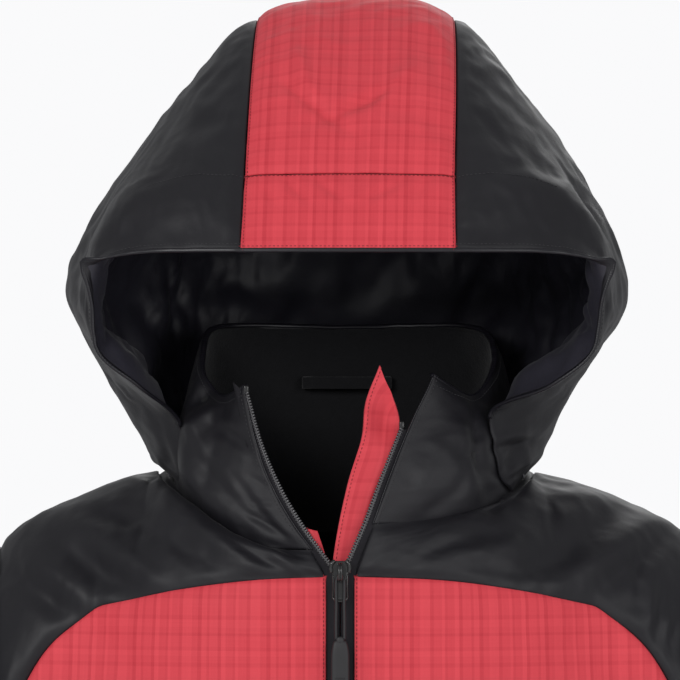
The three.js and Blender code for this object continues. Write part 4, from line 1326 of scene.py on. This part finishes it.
def build_hood_lining():
    """The hood's lining: its face pushed inwards, deeper away from the rim, and crumpled."""
    lining = Panel("hood_inside", hood_drawn_in, (-1, 1), (0, 0.985), 6.8)
    rim_gap = np.minimum.reduce(lining.edges[:3])
    amount = -2.2 - 9.0 * smooth(rim_gap, 0, 26) * (1 - 0.3 * smooth(lining.v, 0.72, 0.95))
    p = lining.points
    rough = crumple(p, 62, 11) * 4.4 + crumple(p, 30, 31) * 1.7 + waves(p, 90, 5) * 2.4
    amount = amount + rough * smooth(rim_gap, 3, 30)
    lining.push(np.minimum(amount, -2.2 - 5.0 * smooth(rim_gap, 0, 18)))
    thin_cloth(lining, "lining_taffeta", "lining", ["hood_lining"], held="hung")


def build_body():
    """The front, back and yoke panels, the tape in the neck seam and the stitches beside the zip."""
    for _, word in SIDES:
        padded_piece(f"front_padding_{word}")
        padded_piece(f"yoke_padding_{word}")
    t, half = np.linspace(0, 1, 30), np.linspace(0.5, 1, 30)
    neck = [spline(NECK_FRONT[RIGHT], half) * [-1, 1, 1], spline(NECK_BACK[::-1], t) * [-1, 1, 1],
            spline(NECK_BACK, t), spline(NECK_FRONT[LEFT], half[::-1])]
    neck = [(line * [0.96, 0.96, 1] - [0, 0, 6.0], line * 0 + [0, 0, 1]) for line in neck]
    bound("neck_tape", [end_to_end(*neck)], 5.0, 0.8, colour="nylon_black", step=4.0)
    padded_piece("back_padding")
    padded_piece("yoke_back_padding")
    rows = [PANELS[f"front_padding_{word}"].line(u=0, inset=2.1) for _, word in SIDES]
    stitched("front_edge_stitching", rows, "thread_red", 0.1, "shell_red")


def build_sleeves():
    """The sleeves' padded panels and the tape inside each armhole, on the ring drawn in a little."""
    ring = armhole(np.linspace(0, 360, 120))
    out = ring - ring[:-1].mean(0)
    inner = ring - out * 0.045
    outward = out / np.linalg.norm(out, axis=1, keepdims=True)
    for side, word in SIDES:
        padded_piece(f"sleeve_top_padding_{word}")
        padded_piece(f"sleeve_back_padding_{word}")
        flip = np.array([side, 1, 1])
        tape = [(inner * flip, outward * flip)]
        bound(f"armhole_tape_{word}", tape, 5.0, 0.9, colour="nylon_black", step=4.0)


def build_collar():
    """The padded collar, its wavy fleece, its bound and piped edges, its stitches and the hang loop."""
    padded_piece("collar_padding")
    shell = PANELS["collar_padding"]
    inside = Panel("collar_fleece", collar, (0.004, 0.996), (0, 0.99), 4.2, -1)
    inside.push(-3.4 + waves(inside.points, 60, 70) * 0.9 + waves(inside.points, 24, 71) * 0.3)
    thin_cloth(inside, "fleece_knit", "fleece", ["collar_lining"], 1.8, held="stretched")
    bound("collar_top_binding", [end_to_end(shell.line(v=1))], 1.5, 1.5, -2.0)
    bound("collar_front_piping", [turned_round(shell.line(u=0)), shell.line(u=1)], 0.55, 1.2, -0.6)
    inset = [shell.line(v=1, inset=5.5), shell.line(u=0, inset=3.2), shell.line(u=1, inset=3.2)]
    stitched("collar_stitching", inset, "thread_black")
    strap = [lump((60, 2.2, 8), (0, 45, 56), 0.25, 0.35)]
    strap += [lump((8, 9, 8.4), (side * 26, 48, 56), 0.3, 0.4) for side, _ in SIDES]
    solid("hang_loop_strap", strap, "fleece_knit", "jacket", "zip_cloth", "hang_loop")


def build_linings():
    """The linings of the fronts, sleeves and back: each face moved inwards and crumpled."""
    for side, word in SIDES:
        surface = for_side(front_panel, side)
        front = Panel(f"front_inside_{word}", surface, (0.03, 0.98), (0.01, 0.945), 9, -side)
        front.push(-LINING_DEPTH + crumple(front.points, 70, 40 + side) * 1.5)
        thin_cloth(front, "lining_taffeta", "lining", [f"front_lining_{word}"], held="hung")
        arm = Panel(f"sleeve_inside_{word}", arm_of(side), (0, 1), (0.02, 0.88), 9, side, wrap=True)
        arm.push(-LINING_DEPTH + crumple(arm.points, 60, 44 + side) * 1.5)
        thin_cloth(arm, "lining_taffeta", "lining", [f"sleeve_lining_{word}"], held="hung")
    back = Panel("back_inside", back_panel, (-0.98, 0.98), (0.02, 0.945), 9)
    back.ease(20).push(-LINING_DEPTH + crumple(back.points, 70, 48) * 1.5)
    thin_cloth(back, "lining_taffeta", "lining", ["back_lining"], held="hung")


def band_swell(band, rise, dip):
    """A band swollen between its two seams, with its upper seam drawn in."""
    near = np.minimum(band.edges[2], band.edges[3])
    return rise * (1 - np.exp(-near / 8)) - dip * np.exp(-((band.edges[2] / 4) ** 2))


SKIRT_TOP, SKIRT_DROP, SKIRT_PLEATS = -560, 78, 54


def skirt_ring(u, v):
    """The snow skirt: an oval inside the body that narrows as it goes down."""
    a, narrow, z = u * 2 * np.pi, 26 + 10 * v, SKIRT_TOP - SKIRT_DROP * v
    return np.stack([(229 - narrow) * np.sin(a), 2 - (128 - narrow) * np.cos(a), z], -1)


def build_hem():
    """The hem band and the snow skirt, whose pleats are a cosine that grows downwards."""
    band = Panel("hem_edge_band", hem_surface(), (0, 1), (0, 1), 5.5)
    band.push(band_swell(band, 1.4, 2.0) + ripple(band.across, 19, 1.3) * 0.35)
    thin_cloth(band, "nylon_black", "shell_black", ["hem_band"], 3.0)
    stitched("hem_stitching", [band.line(v=0, inset=3), band.line(v=1, inset=4)], "thread_black")
    skirt = Panel("snow_skirt", skirt_ring, (0, 1), (0, 1), 7, wrap=True)
    pleats = np.cos(skirt.u * 2 * np.pi * SKIRT_PLEATS) * smooth(skirt.v, 0.45, 0.95)
    skirt.push(1.6 * pleats + waves(skirt.points, 70, 9) * 1.5)
    thin_cloth(skirt, "lining_taffeta", "lining", ["powder_skirt"], 1.2, held="gathered")


def build_cuffs():
    """Each cuff's band, the ribbed knit inside it and the grip of its strap."""
    for side, word in SIDES:
        arm = arm_of(side)
        band = Panel(f"cuff_edge_{word}", arm, (0, 1), (CUFF_START, 1), 4.5, side, wrap=True)
        band.push(band_swell(band, 1.2, 2.2) + ripple(band.u * 380, 19, 1.3) * 0.3)
        thin_cloth(band, "nylon_black", "shell_black", [f"cuff_band_{word}"], 3.2)
        loops = [tuple(np.concatenate([part, part[:1]]) for part in band.line(v=k, inset=3)) for k in (0, 1)]
        stitched(f"cuff_stitching_{word}", loops, "thread_black")
        gaiter = Panel(f"cuff_knit_{word}", arm, (0, 1), (0.885, 0.99), 4, side, wrap=True)
        gaiter.push(-11 + 0.7 * np.cos(gaiter.u * 2 * np.pi * 60))
        thin_cloth(gaiter, "fleece_knit", "fleece", [f"cuff_gaiter_{word}"], 1.4, held="gathered")
        tab = Panel(f"cuff_strap_grip_{word}", arm, (0.06, 0.27), (0.915, 0.985), 2.5, side)
        bar = np.minimum.reduce(tab.edges)
        tab.push(2.7 + 0.5 * smooth(bar, 0.5, 3) + 0.25 * np.cos(tab.across * 1.6) * smooth(bar, 4, 6))
        piece = thicken(tab.build("rubber_soft"), 1.9)
        attach(piece, f"cuff_strap_{word}", "pull_rubber", f"cuff_tab_{word}")


TAPE_DEPTH = 4.6  # from the face of a front panel back to the edge of the tape behind it
ZIP_FOOT = HEM_Z + 12


def zip_half(side):
    """One half of the main zip: its closed run up to the slider and its open run beside the V."""
    cloth = [[x, y + TAPE_DEPTH, z] for x, y, z in OPEN_EDGE[side][: len(OPEN_COIL[side])]]
    runs = []
    for line, out, deep in ((OPEN_COIL[side], 1.8, 2.5), (cloth, ZIP_HALF, TAPE_DEPTH)):
        foot = [ZIP_X + side * out, ZIP_Y + deep, ZIP_FOOT]
        runs.append(joined(curve([foot, line[0]]), curve(line), 0.6))
    return runs


def build_zip():
    """Each half's tape, ruled between two curves, its teeth and its stop; then the foot box."""
    for side, word in SIDES:
        coil, edge = zip_half(side)

        def tape(u, v, coil=coil, edge=edge):
            return coil(v) + (edge(v) - coil(v)) * u[..., None]

        panel = Panel(f"zip_tape_cloth_{word}", tape, (-0.3, 1.9), (0, 1), 2.4, -side)
        thin_cloth(panel, "tape_woven", "zip_cloth", [f"zip_tape_{word}"], 0.7, 0)
        t = np.linspace(0.585, 1, 500)
        line = coil(t)
        up = np.cross(np.gradient(line, axis=0), edge(t) - line)
        up /= np.linalg.norm(up, axis=1, keepdims=True)
        up = np.where(up[:, 1:2] > 0, -up, up)
        middle, up, ways = resampled(line, up, sizes()["tooth_pitch"])
        inward = np.cross(ways, up)
        inward *= np.sign((inward * [side, 0, 0]).sum(1, keepdims=True))
        teeth = bars(middle - inward * 0.7 + up * 0.55, inward, up, ways, 3.4, 0.62, 0.75)
        core = tube(line, np.tile([0.0, -1.0, 0.0], (len(line), 1)), 0.6, 2.0, 6, 1.0, 0.5)
        solid(f"zip_teeth_{word}", [teeth, core], "coil_plastic", "jacket", "coil", f"zip_coil_{word}")
        stop = lump((3.4, 3.4, 4.4), line[-1] + [0, -0.2, 3.0], 0.35, 0.45, 20, 10)
        solid(f"zip_stop_{word}", [stop], "gunmetal", "jacket", "gunmetal", f"zip_top_stop_{word}")
    box = [
        lump((9, 4.2, 9), (ZIP_X, ZIP_Y + 2.5, HEM_Z + 5.5), 0.25, 0.35),
        lump((6.2, 1.2, 5.6), (ZIP_X, ZIP_Y + 0.2, HEM_Z + 5.0), 0.3, 0.4, 24, 8),
    ]
    solid("zip_foot_box", box, "gunmetal", "jacket", "gunmetal", "zip_bottom_box")


def bars(middle, ways, up, side, length, wide, tall):
    """Short rounded bars, one at each middle: long along ways, tall along up and wide along side."""
    points = []
    for along, thin in ((-0.5, 0.55), (-0.36, 1.0), (0.36, 1.0), (0.5, 0.55)):
        points += [middle + ways * along * length + side * x * wide * thin + up * y * tall * thin
                   for x, y in ((1, 0.7), (0.5, 1), (-0.5, 1), (-1, 0.7), (-1, -1), (1, -1))]
    one = [*grid_faces(4, 6, True).tolist(), [5, 4, 3, 2, 1, 0], [18, 19, 20, 21, 22, 23]]
    if np.linalg.det(np.stack([ways[0], side[0], up[0]])) < 0:
        one = [face[::-1] for face in one]
    faces = [[i + start for i in face] for start in range(0, len(middle) * 24, 24) for face in one]
    return np.stack(points, 1).reshape(-1, 3), faces


def waist(z):
    """The slider's width: wide shoulders, a narrow waist and a slightly wider foot."""
    return 0.8 + 0.2 * smooth(z, 0.1, 0.75) - 0.1 * np.exp(-(((z + 0.2) / 0.4) ** 2))


def grip_width(z):
    """The grip's width: a little narrower at its top."""
    return 0.9 + 0.1 * smooth(-z, -0.9, -0.4)


SLIDER_WING = np.array([[3.6, -3.0, 7.4], [5.2, -3.8, 6.2], [6.0, -3.6, 3.6], [5.6, -3.1, 0.2]])
SLIDER_RAIL = np.array([[4.6, -2.6, -1.5], [4.3, -3.0, -9], [4.6, -2.6, -16.5]])
SLIDER_ARCH = np.array([[0, -3.0, 5.6], [0, -6.0, 5.0], [0, -8.4, 2.5], [0, -8.4, -2.5], [0, -6.0, -5.0],
                        [0, -3.0, -5.4]])
SLIDER_FOOT = np.array([[-4.8, -2.8, -15.6], [-3.4, -3.4, -17.6], [0, -3.6, -18.3], [3.4, -3.4, -17.6],
                        [4.8, -2.8, -15.6]])


def build_slider():
    """The slider's plates, post, wings, rails, arch and foot; then the grip with its ribs."""
    at = np.array([ZIP_X, ZIP_Y, SLIDER_Z])
    parts = [
        lump((12.4, 2.4, 26), at + [0, -1.9, -5.5], 0.42, 0.5, 40, 12, waist),
        lump((11.4, 1.8, 23.5), at + [0, 6.4, -5.5], 0.5, 0.5, 32, 10, waist),
        lump((1.0, 8, 3.4), at + [0, 2.2, 4.5], 0.4, 0.4, 12, 8),
    ]
    for side, _ in SIDES:
        parts.append(rod(SLIDER_WING * [side, 1, 1] + at, 1.25))
        parts.append(rod(SLIDER_RAIL * [side, 1, 1] + at, 0.7, 1.0, 8))
    for side, _ in SIDES:
        parts.append(rod(SLIDER_ARCH + at + [side * 0.75, 0, 0], 0.85, count=40, facing=(1, 0, 0)))
    parts.append(rod(SLIDER_FOOT + at, 0.75, 0.9, 8, 30))
    solid("slider_body", parts, "gunmetal", "main_slider", "gunmetal", "main_zip_slider")
    at = np.array([ZIP_X, PULL_Y, GRIP_TOP - 18])
    grip = [
        lump((11.6, 4.6, 36), at, 0.4, 0.55, 44, 16, grip_width),
        lump((5.6, 3.6, 6), (ZIP_X, PULL_Y, GRIP_TOP - 0.6), 0.7, 0.7, 20, 10),
    ]
    for k in range(5):
        rib = np.array([[-3.1, -2.1, 0], [0, -2.35, 0], [3.1, -2.1, 0]]) + at - [0, 0, 6.5 + k * 2.1]
        grip.append(rod(rib, 0.42, 0.8, 6, 20))
    solid("pull_grip", grip, "rubber_soft", "main_pull", "pull_rubber", "main_pull_grip")


# The storm flap, row by row from its tip down: each row runs from the middle of the V to the zip's tape
FLAP_ROWS = [
    [[21, -98, 68], [24, -97.6, 60], [29, -98, 50]],
    [[12, -100, 44], [21, -99, 40], [33, -101, 32]],
    [[9.5, -103, 22], [18, -103, 14], [28, -105, 6]],
    [[1, -108, -6], [8, -108, -12], [17, -109, -18]],
    [[-8, -114, -50], [-2, -114, -54], [4, -115, -62]],
    [[-12, -116, -90], [-2, -116, -92], [8, -116, -94]],
    [[-14, -116, HEM_Z / 2], [-2, -116, HEM_Z / 2], [10, -116, HEM_Z / 2]],
    [[-14, -116, HEM_Z + 20], [-2, -116, HEM_Z + 20], [10, -116, HEM_Z + 20]],
]
STRIP_ROWS = [[[-27, -114, -36], [-19, -113.5, -38]], [[-20, -115, -49], [-14, -115, -53]]]


def build_flaps():
    """The storm flap, curled and tucked near its tip, and the facing strip, each with its stitches."""
    flap = Panel("storm_flap_cloth", net(FLAP_ROWS), (0, 1), (0, 1), 2.6, -1, grain="upright")
    z = flap.points[..., 2]
    curl = np.exp(-(((z - 34) / 12) ** 2)) * (flap.u - 0.45) * -9
    curl = curl + np.exp(-(((z - 8) / 9) ** 2)) * (flap.u - 0.6) * 3
    tuck = np.exp(-(((z - 32) / 16) ** 2) - ((flap.u - 0.72) / 0.16) ** 2) * -4.5
    loose = smooth(z, -60, 20) * (waves(flap.points, 30, 21) * 1.1 + curl + tuck)
    flap.push(loose + 0.4 * np.exp(-flap.edges[0] / 1.4))
    thin_cloth(flap, "ripstop_red", "shell_red", ["storm_flap"], 1.5, 0, held="hung")
    stitched("storm_flap_stitching", [flap.line(u=0, inset=2.0)], "thread_red", 0.1, "shell_red")
    strip = Panel("facing_strip_cloth", net(STRIP_ROWS), (0, 1), (0, 1), 1.6, -1, grain="upright")
    thin_cloth(strip, "ripstop_red", "shell_red", ["facing_strip"], 1.2, 0)
    stitched("facing_strip_stitching", [strip.line(u=0, inset=1.6)], "thread_red", 0.1, "shell_red")


def at_pocket(parts, side):
    """Parts drawn at a pocket's own middle line, turned to the panel's slope and set in place."""
    c, s = math.cos(side * POCKET_TURN), math.sin(side * POCKET_TURN)
    turned = []
    for points, faces in parts:
        x, y = points[:, 0] * c - points[:, 1] * s, points[:, 0] * s + points[:, 1] * c
        turned.append((np.stack([x, y, points[:, 2]], -1) + POCKET_PLACE * [side, 1, 1], faces))
    return turned


def oblong_ring(rings, square_x, square_z):
    """A closed frame through rounded oblongs, each given by its half width, half height, depth and middle:
    x and z follow powers of cosine and sine, and the last oblong joins the first."""
    a = np.linspace(0, 2 * np.pi, 241)[:-1]
    x, z = power(np.cos(a), square_x), power(np.sin(a), square_z)
    points = [np.stack([x * wide, 0 * a + out, z * tall + middle], -1) for wide, tall, out, middle in rings]
    count, last = len(a), (len(rings) - 1) * len(a)
    faces = grid_faces(len(rings), count, True).tolist()
    faces += [[last + i, last + (i + 1) % count, (i + 1) % count, i] for i in range(count)]
    return np.concatenate(points), faces


RUNNER_Z = -16
RUNNER_BOW = [[0, -4.4, -13], [0, -7, -13.2], [0, -8.6, RUNNER_Z], [0, -7, -18.8], [0, -4.4, -19]]
TAB_Z, TAB_FACE = -31.6, -6.95
TAB_HOLE_Z = TAB_Z + 12.5
TAB_RIBS = (-30, -32.5, -35, -37.5, -40)
TAB_RINGS = ((3.6, 16.6, -5.5, TAB_Z), (4.0, 17.0, -6.2, TAB_Z), (3.6, 16.6, TAB_FACE, TAB_Z),
             (2.2, 2.5, TAB_FACE, TAB_HOLE_Z), (2.2, 2.5, -5.5, TAB_HOLE_Z))


def build_pockets():
    """Each pocket's edging, teeth, runner, ribbed tab and bag."""
    half = POCKET_LENGTH / 2
    welt_rings = [
        (6.4, half, -1.2, -half), (6.5, half, -2.4, -half), (6.0, half - 0.6, -2.9, -half),
        (2.4, half - 6.2, -2.9, -half), (2.0, half - 6.8, -2.6, -half), (2.0, half - 6.8, -1.2, -half),
    ]
    z = np.arange(-half * 2 + 9, -7, 1.7)
    middle = np.stack([0 * z, 0 * z - 1.6, z], -1)
    x_way, y_way, z_way = (np.tile(row, (len(z), 1)) for row in np.eye(3))
    teeth = [bars(middle + x_way * s, x_way, -y_way, z_way, 1.9, 0.55, 0.5) for s in (-1, 1)]
    runner = [lump((8, 1.9, 13), (0, -4.0, RUNNER_Z), 0.5, 0.5, 32, 10),
              lump((2.4, 2.6, 8), (0, -2.4, RUNNER_Z), 0.4, 0.4, 14, 8),
              rod(RUNNER_BOW, 0.7, 0.8, 8, facing=(1, 0, 0))]
    tab = [oblong_ring(TAB_RINGS, 0.5, 0.35)]
    tab += [rod([[-2.6, TAB_FACE, low], [2.6, TAB_FACE, low]], 0.4, 0.9, 6, 8) for low in TAB_RIBS]
    for side, word in SIDES:
        solid(f"pocket_edging_{word}", at_pocket([oblong_ring(welt_rings, 0.6, 0.25)], side), "tape_woven",
              "jacket", "zip_cloth", f"pocket_welt_{word}")
        solid(f"pocket_teeth_{word}", at_pocket(teeth, side), "coil_plastic", "jacket", "coil")
        solid(f"pocket_runner_body_{word}", at_pocket(runner, side), "gunmetal", f"pocket_runner_{word}",
              "gunmetal", f"pocket_slider_{word}")
        solid(f"pocket_tab_grip_{word}", at_pocket(tab, side), "rubber_soft", f"pocket_tab_{word}",
              "pull_rubber", f"pocket_puller_{word}")
        bag = Panel(f"pocket_bag_cloth_{word}", for_side(front_panel, side), (0.3, 0.62),
                    (POCKET_V - 0.02, POCKET_V + 0.36), 8, -side)
        bag.push(-7 + crumple(bag.points, 60, 60 + side) * 0.8)
        thin_cloth(bag, "lining_taffeta", "lining", [f"pocket_bag_{word}"], 1.0, held="hung")


# ---------- operators ----------


class JACKET_OT_stage(bpy.types.Operator):
    """Add the camera, the lights and the floor"""

    bl_idname = "jacket.stage"
    bl_label = "Stage"

    def execute(self, context):
        build_stage()
        return {"FINISHED"}


class JACKET_OT_cord(bpy.types.Operator):
    """Add the cord loop that hangs on the main slider"""

    bl_idname = "jacket.cord"
    bl_label = "Pull cord"

    def execute(self, context):
        build_cord()
        return {"FINISHED"}


class JACKET_OT_padding(bpy.types.Operator):
    """Cut every padded panel and let the padding swell"""

    bl_idname = "jacket.padding"
    bl_label = "Cut and pad"

    def execute(self, context):
        cut_panels()
        swell(list(PANELS.values()))
        for panel in PANELS.values():
            crease(panel)
        return {"FINISHED"}


class JACKET_OT_hood(bpy.types.Operator):
    """Build the hood: its panels, lining, binding and stitching"""

    bl_idname = "jacket.hood"
    bl_label = "Hood"

    def execute(self, context):
        build_hood()
        return {"FINISHED"}


class JACKET_OT_body(bpy.types.Operator):
    """Build the front and back panels and the yokes"""

    bl_idname = "jacket.body"
    bl_label = "Body"

    def execute(self, context):
        build_body()
        return {"FINISHED"}


class JACKET_OT_sleeves(bpy.types.Operator):
    """Build the padded sleeves"""

    bl_idname = "jacket.sleeves"
    bl_label = "Sleeves"

    def execute(self, context):
        build_sleeves()
        return {"FINISHED"}


class JACKET_OT_collar(bpy.types.Operator):
    """Build the collar, its fleece, its bound edges and the hang loop"""

    bl_idname = "jacket.collar"
    bl_label = "Collar"

    def execute(self, context):
        build_collar()
        return {"FINISHED"}


class JACKET_OT_linings(bpy.types.Operator):
    """Build the linings of the body and the sleeves"""

    bl_idname = "jacket.linings"
    bl_label = "Linings"

    def execute(self, context):
        build_linings()
        return {"FINISHED"}


class JACKET_OT_hem(bpy.types.Operator):
    """Build the hem band and the snow skirt"""

    bl_idname = "jacket.hem"
    bl_label = "Hem"

    def execute(self, context):
        build_hem()
        return {"FINISHED"}


class JACKET_OT_cuffs(bpy.types.Operator):
    """Build the cuffs, their knit gaiters and their straps"""

    bl_idname = "jacket.cuffs"
    bl_label = "Cuffs"

    def execute(self, context):
        build_cuffs()
        return {"FINISHED"}


class JACKET_OT_zip(bpy.types.Operator):
    """Build the main zip: tapes, teeth, stops and foot box"""

    bl_idname = "jacket.zip"
    bl_label = "Main zip"

    def execute(self, context):
        build_zip()
        return {"FINISHED"}


class JACKET_OT_slider(bpy.types.Operator):
    """Build the main slider and the moulded grip"""

    bl_idname = "jacket.slider"
    bl_label = "Slider"

    def execute(self, context):
        build_slider()
        return {"FINISHED"}


class JACKET_OT_flaps(bpy.types.Operator):
    """Build the storm flap and the facing strip behind the zip"""

    bl_idname = "jacket.flaps"
    bl_label = "Flaps"

    def execute(self, context):
        build_flaps()
        return {"FINISHED"}


class JACKET_OT_pockets(bpy.types.Operator):
    """Build the pocket zips, their runners, tabs and bags"""

    bl_idname = "jacket.pockets"
    bl_label = "Pockets"

    def execute(self, context):
        build_pockets()
        return {"FINISHED"}


STEPS = (
    JACKET_OT_stage, JACKET_OT_slider, JACKET_OT_cord, JACKET_OT_padding, JACKET_OT_hood, JACKET_OT_body,
    JACKET_OT_sleeves, JACKET_OT_collar, JACKET_OT_linings, JACKET_OT_hem, JACKET_OT_cuffs, JACKET_OT_zip,
    JACKET_OT_flaps, JACKET_OT_pockets,
)


class JACKET_PT_panel(bpy.types.Panel):
    """The jacket's sizes, colours and building steps"""

    bl_idname = "JACKET_PT_panel"
    bl_label = "Ski Jacket"
    bl_space_type = "VIEW_3D"
    bl_region_type = "UI"
    bl_category = "Jacket"

    def draw(self, context):
        for group in (context.scene.jacket_sizes, context.scene.jacket_colours):
            for name in type(group).__annotations__:
                self.layout.prop(group, name)
        for step in STEPS:
            self.layout.operator(step.bl_idname)


CLASSES = (JacketSizes, JacketColours, *STEPS, JACKET_PT_panel)


def register():
    """Registers the classes and gives the scene its sizes and colours."""
    for item in CLASSES:
        bpy.utils.register_class(item)
    bpy.types.Scene.jacket_sizes = bpy.props.PointerProperty(type=JacketSizes)
    bpy.types.Scene.jacket_colours = bpy.props.PointerProperty(type=JacketColours)


def unregister():
    """Takes the classes, sizes and colours away again."""
    del bpy.types.Scene.jacket_sizes, bpy.types.Scene.jacket_colours
    for item in reversed(CLASSES):
        bpy.utils.unregister_class(item)


def main():
    """Builds the jacket step by step."""
    register()
    for step in STEPS:
        area, name = step.bl_idname.split(".")
        if getattr(getattr(bpy.ops, area), name)() != {"FINISHED"}:
            raise RuntimeError(step.bl_idname + " did not finish")


if __name__ == "__main__":
    main()
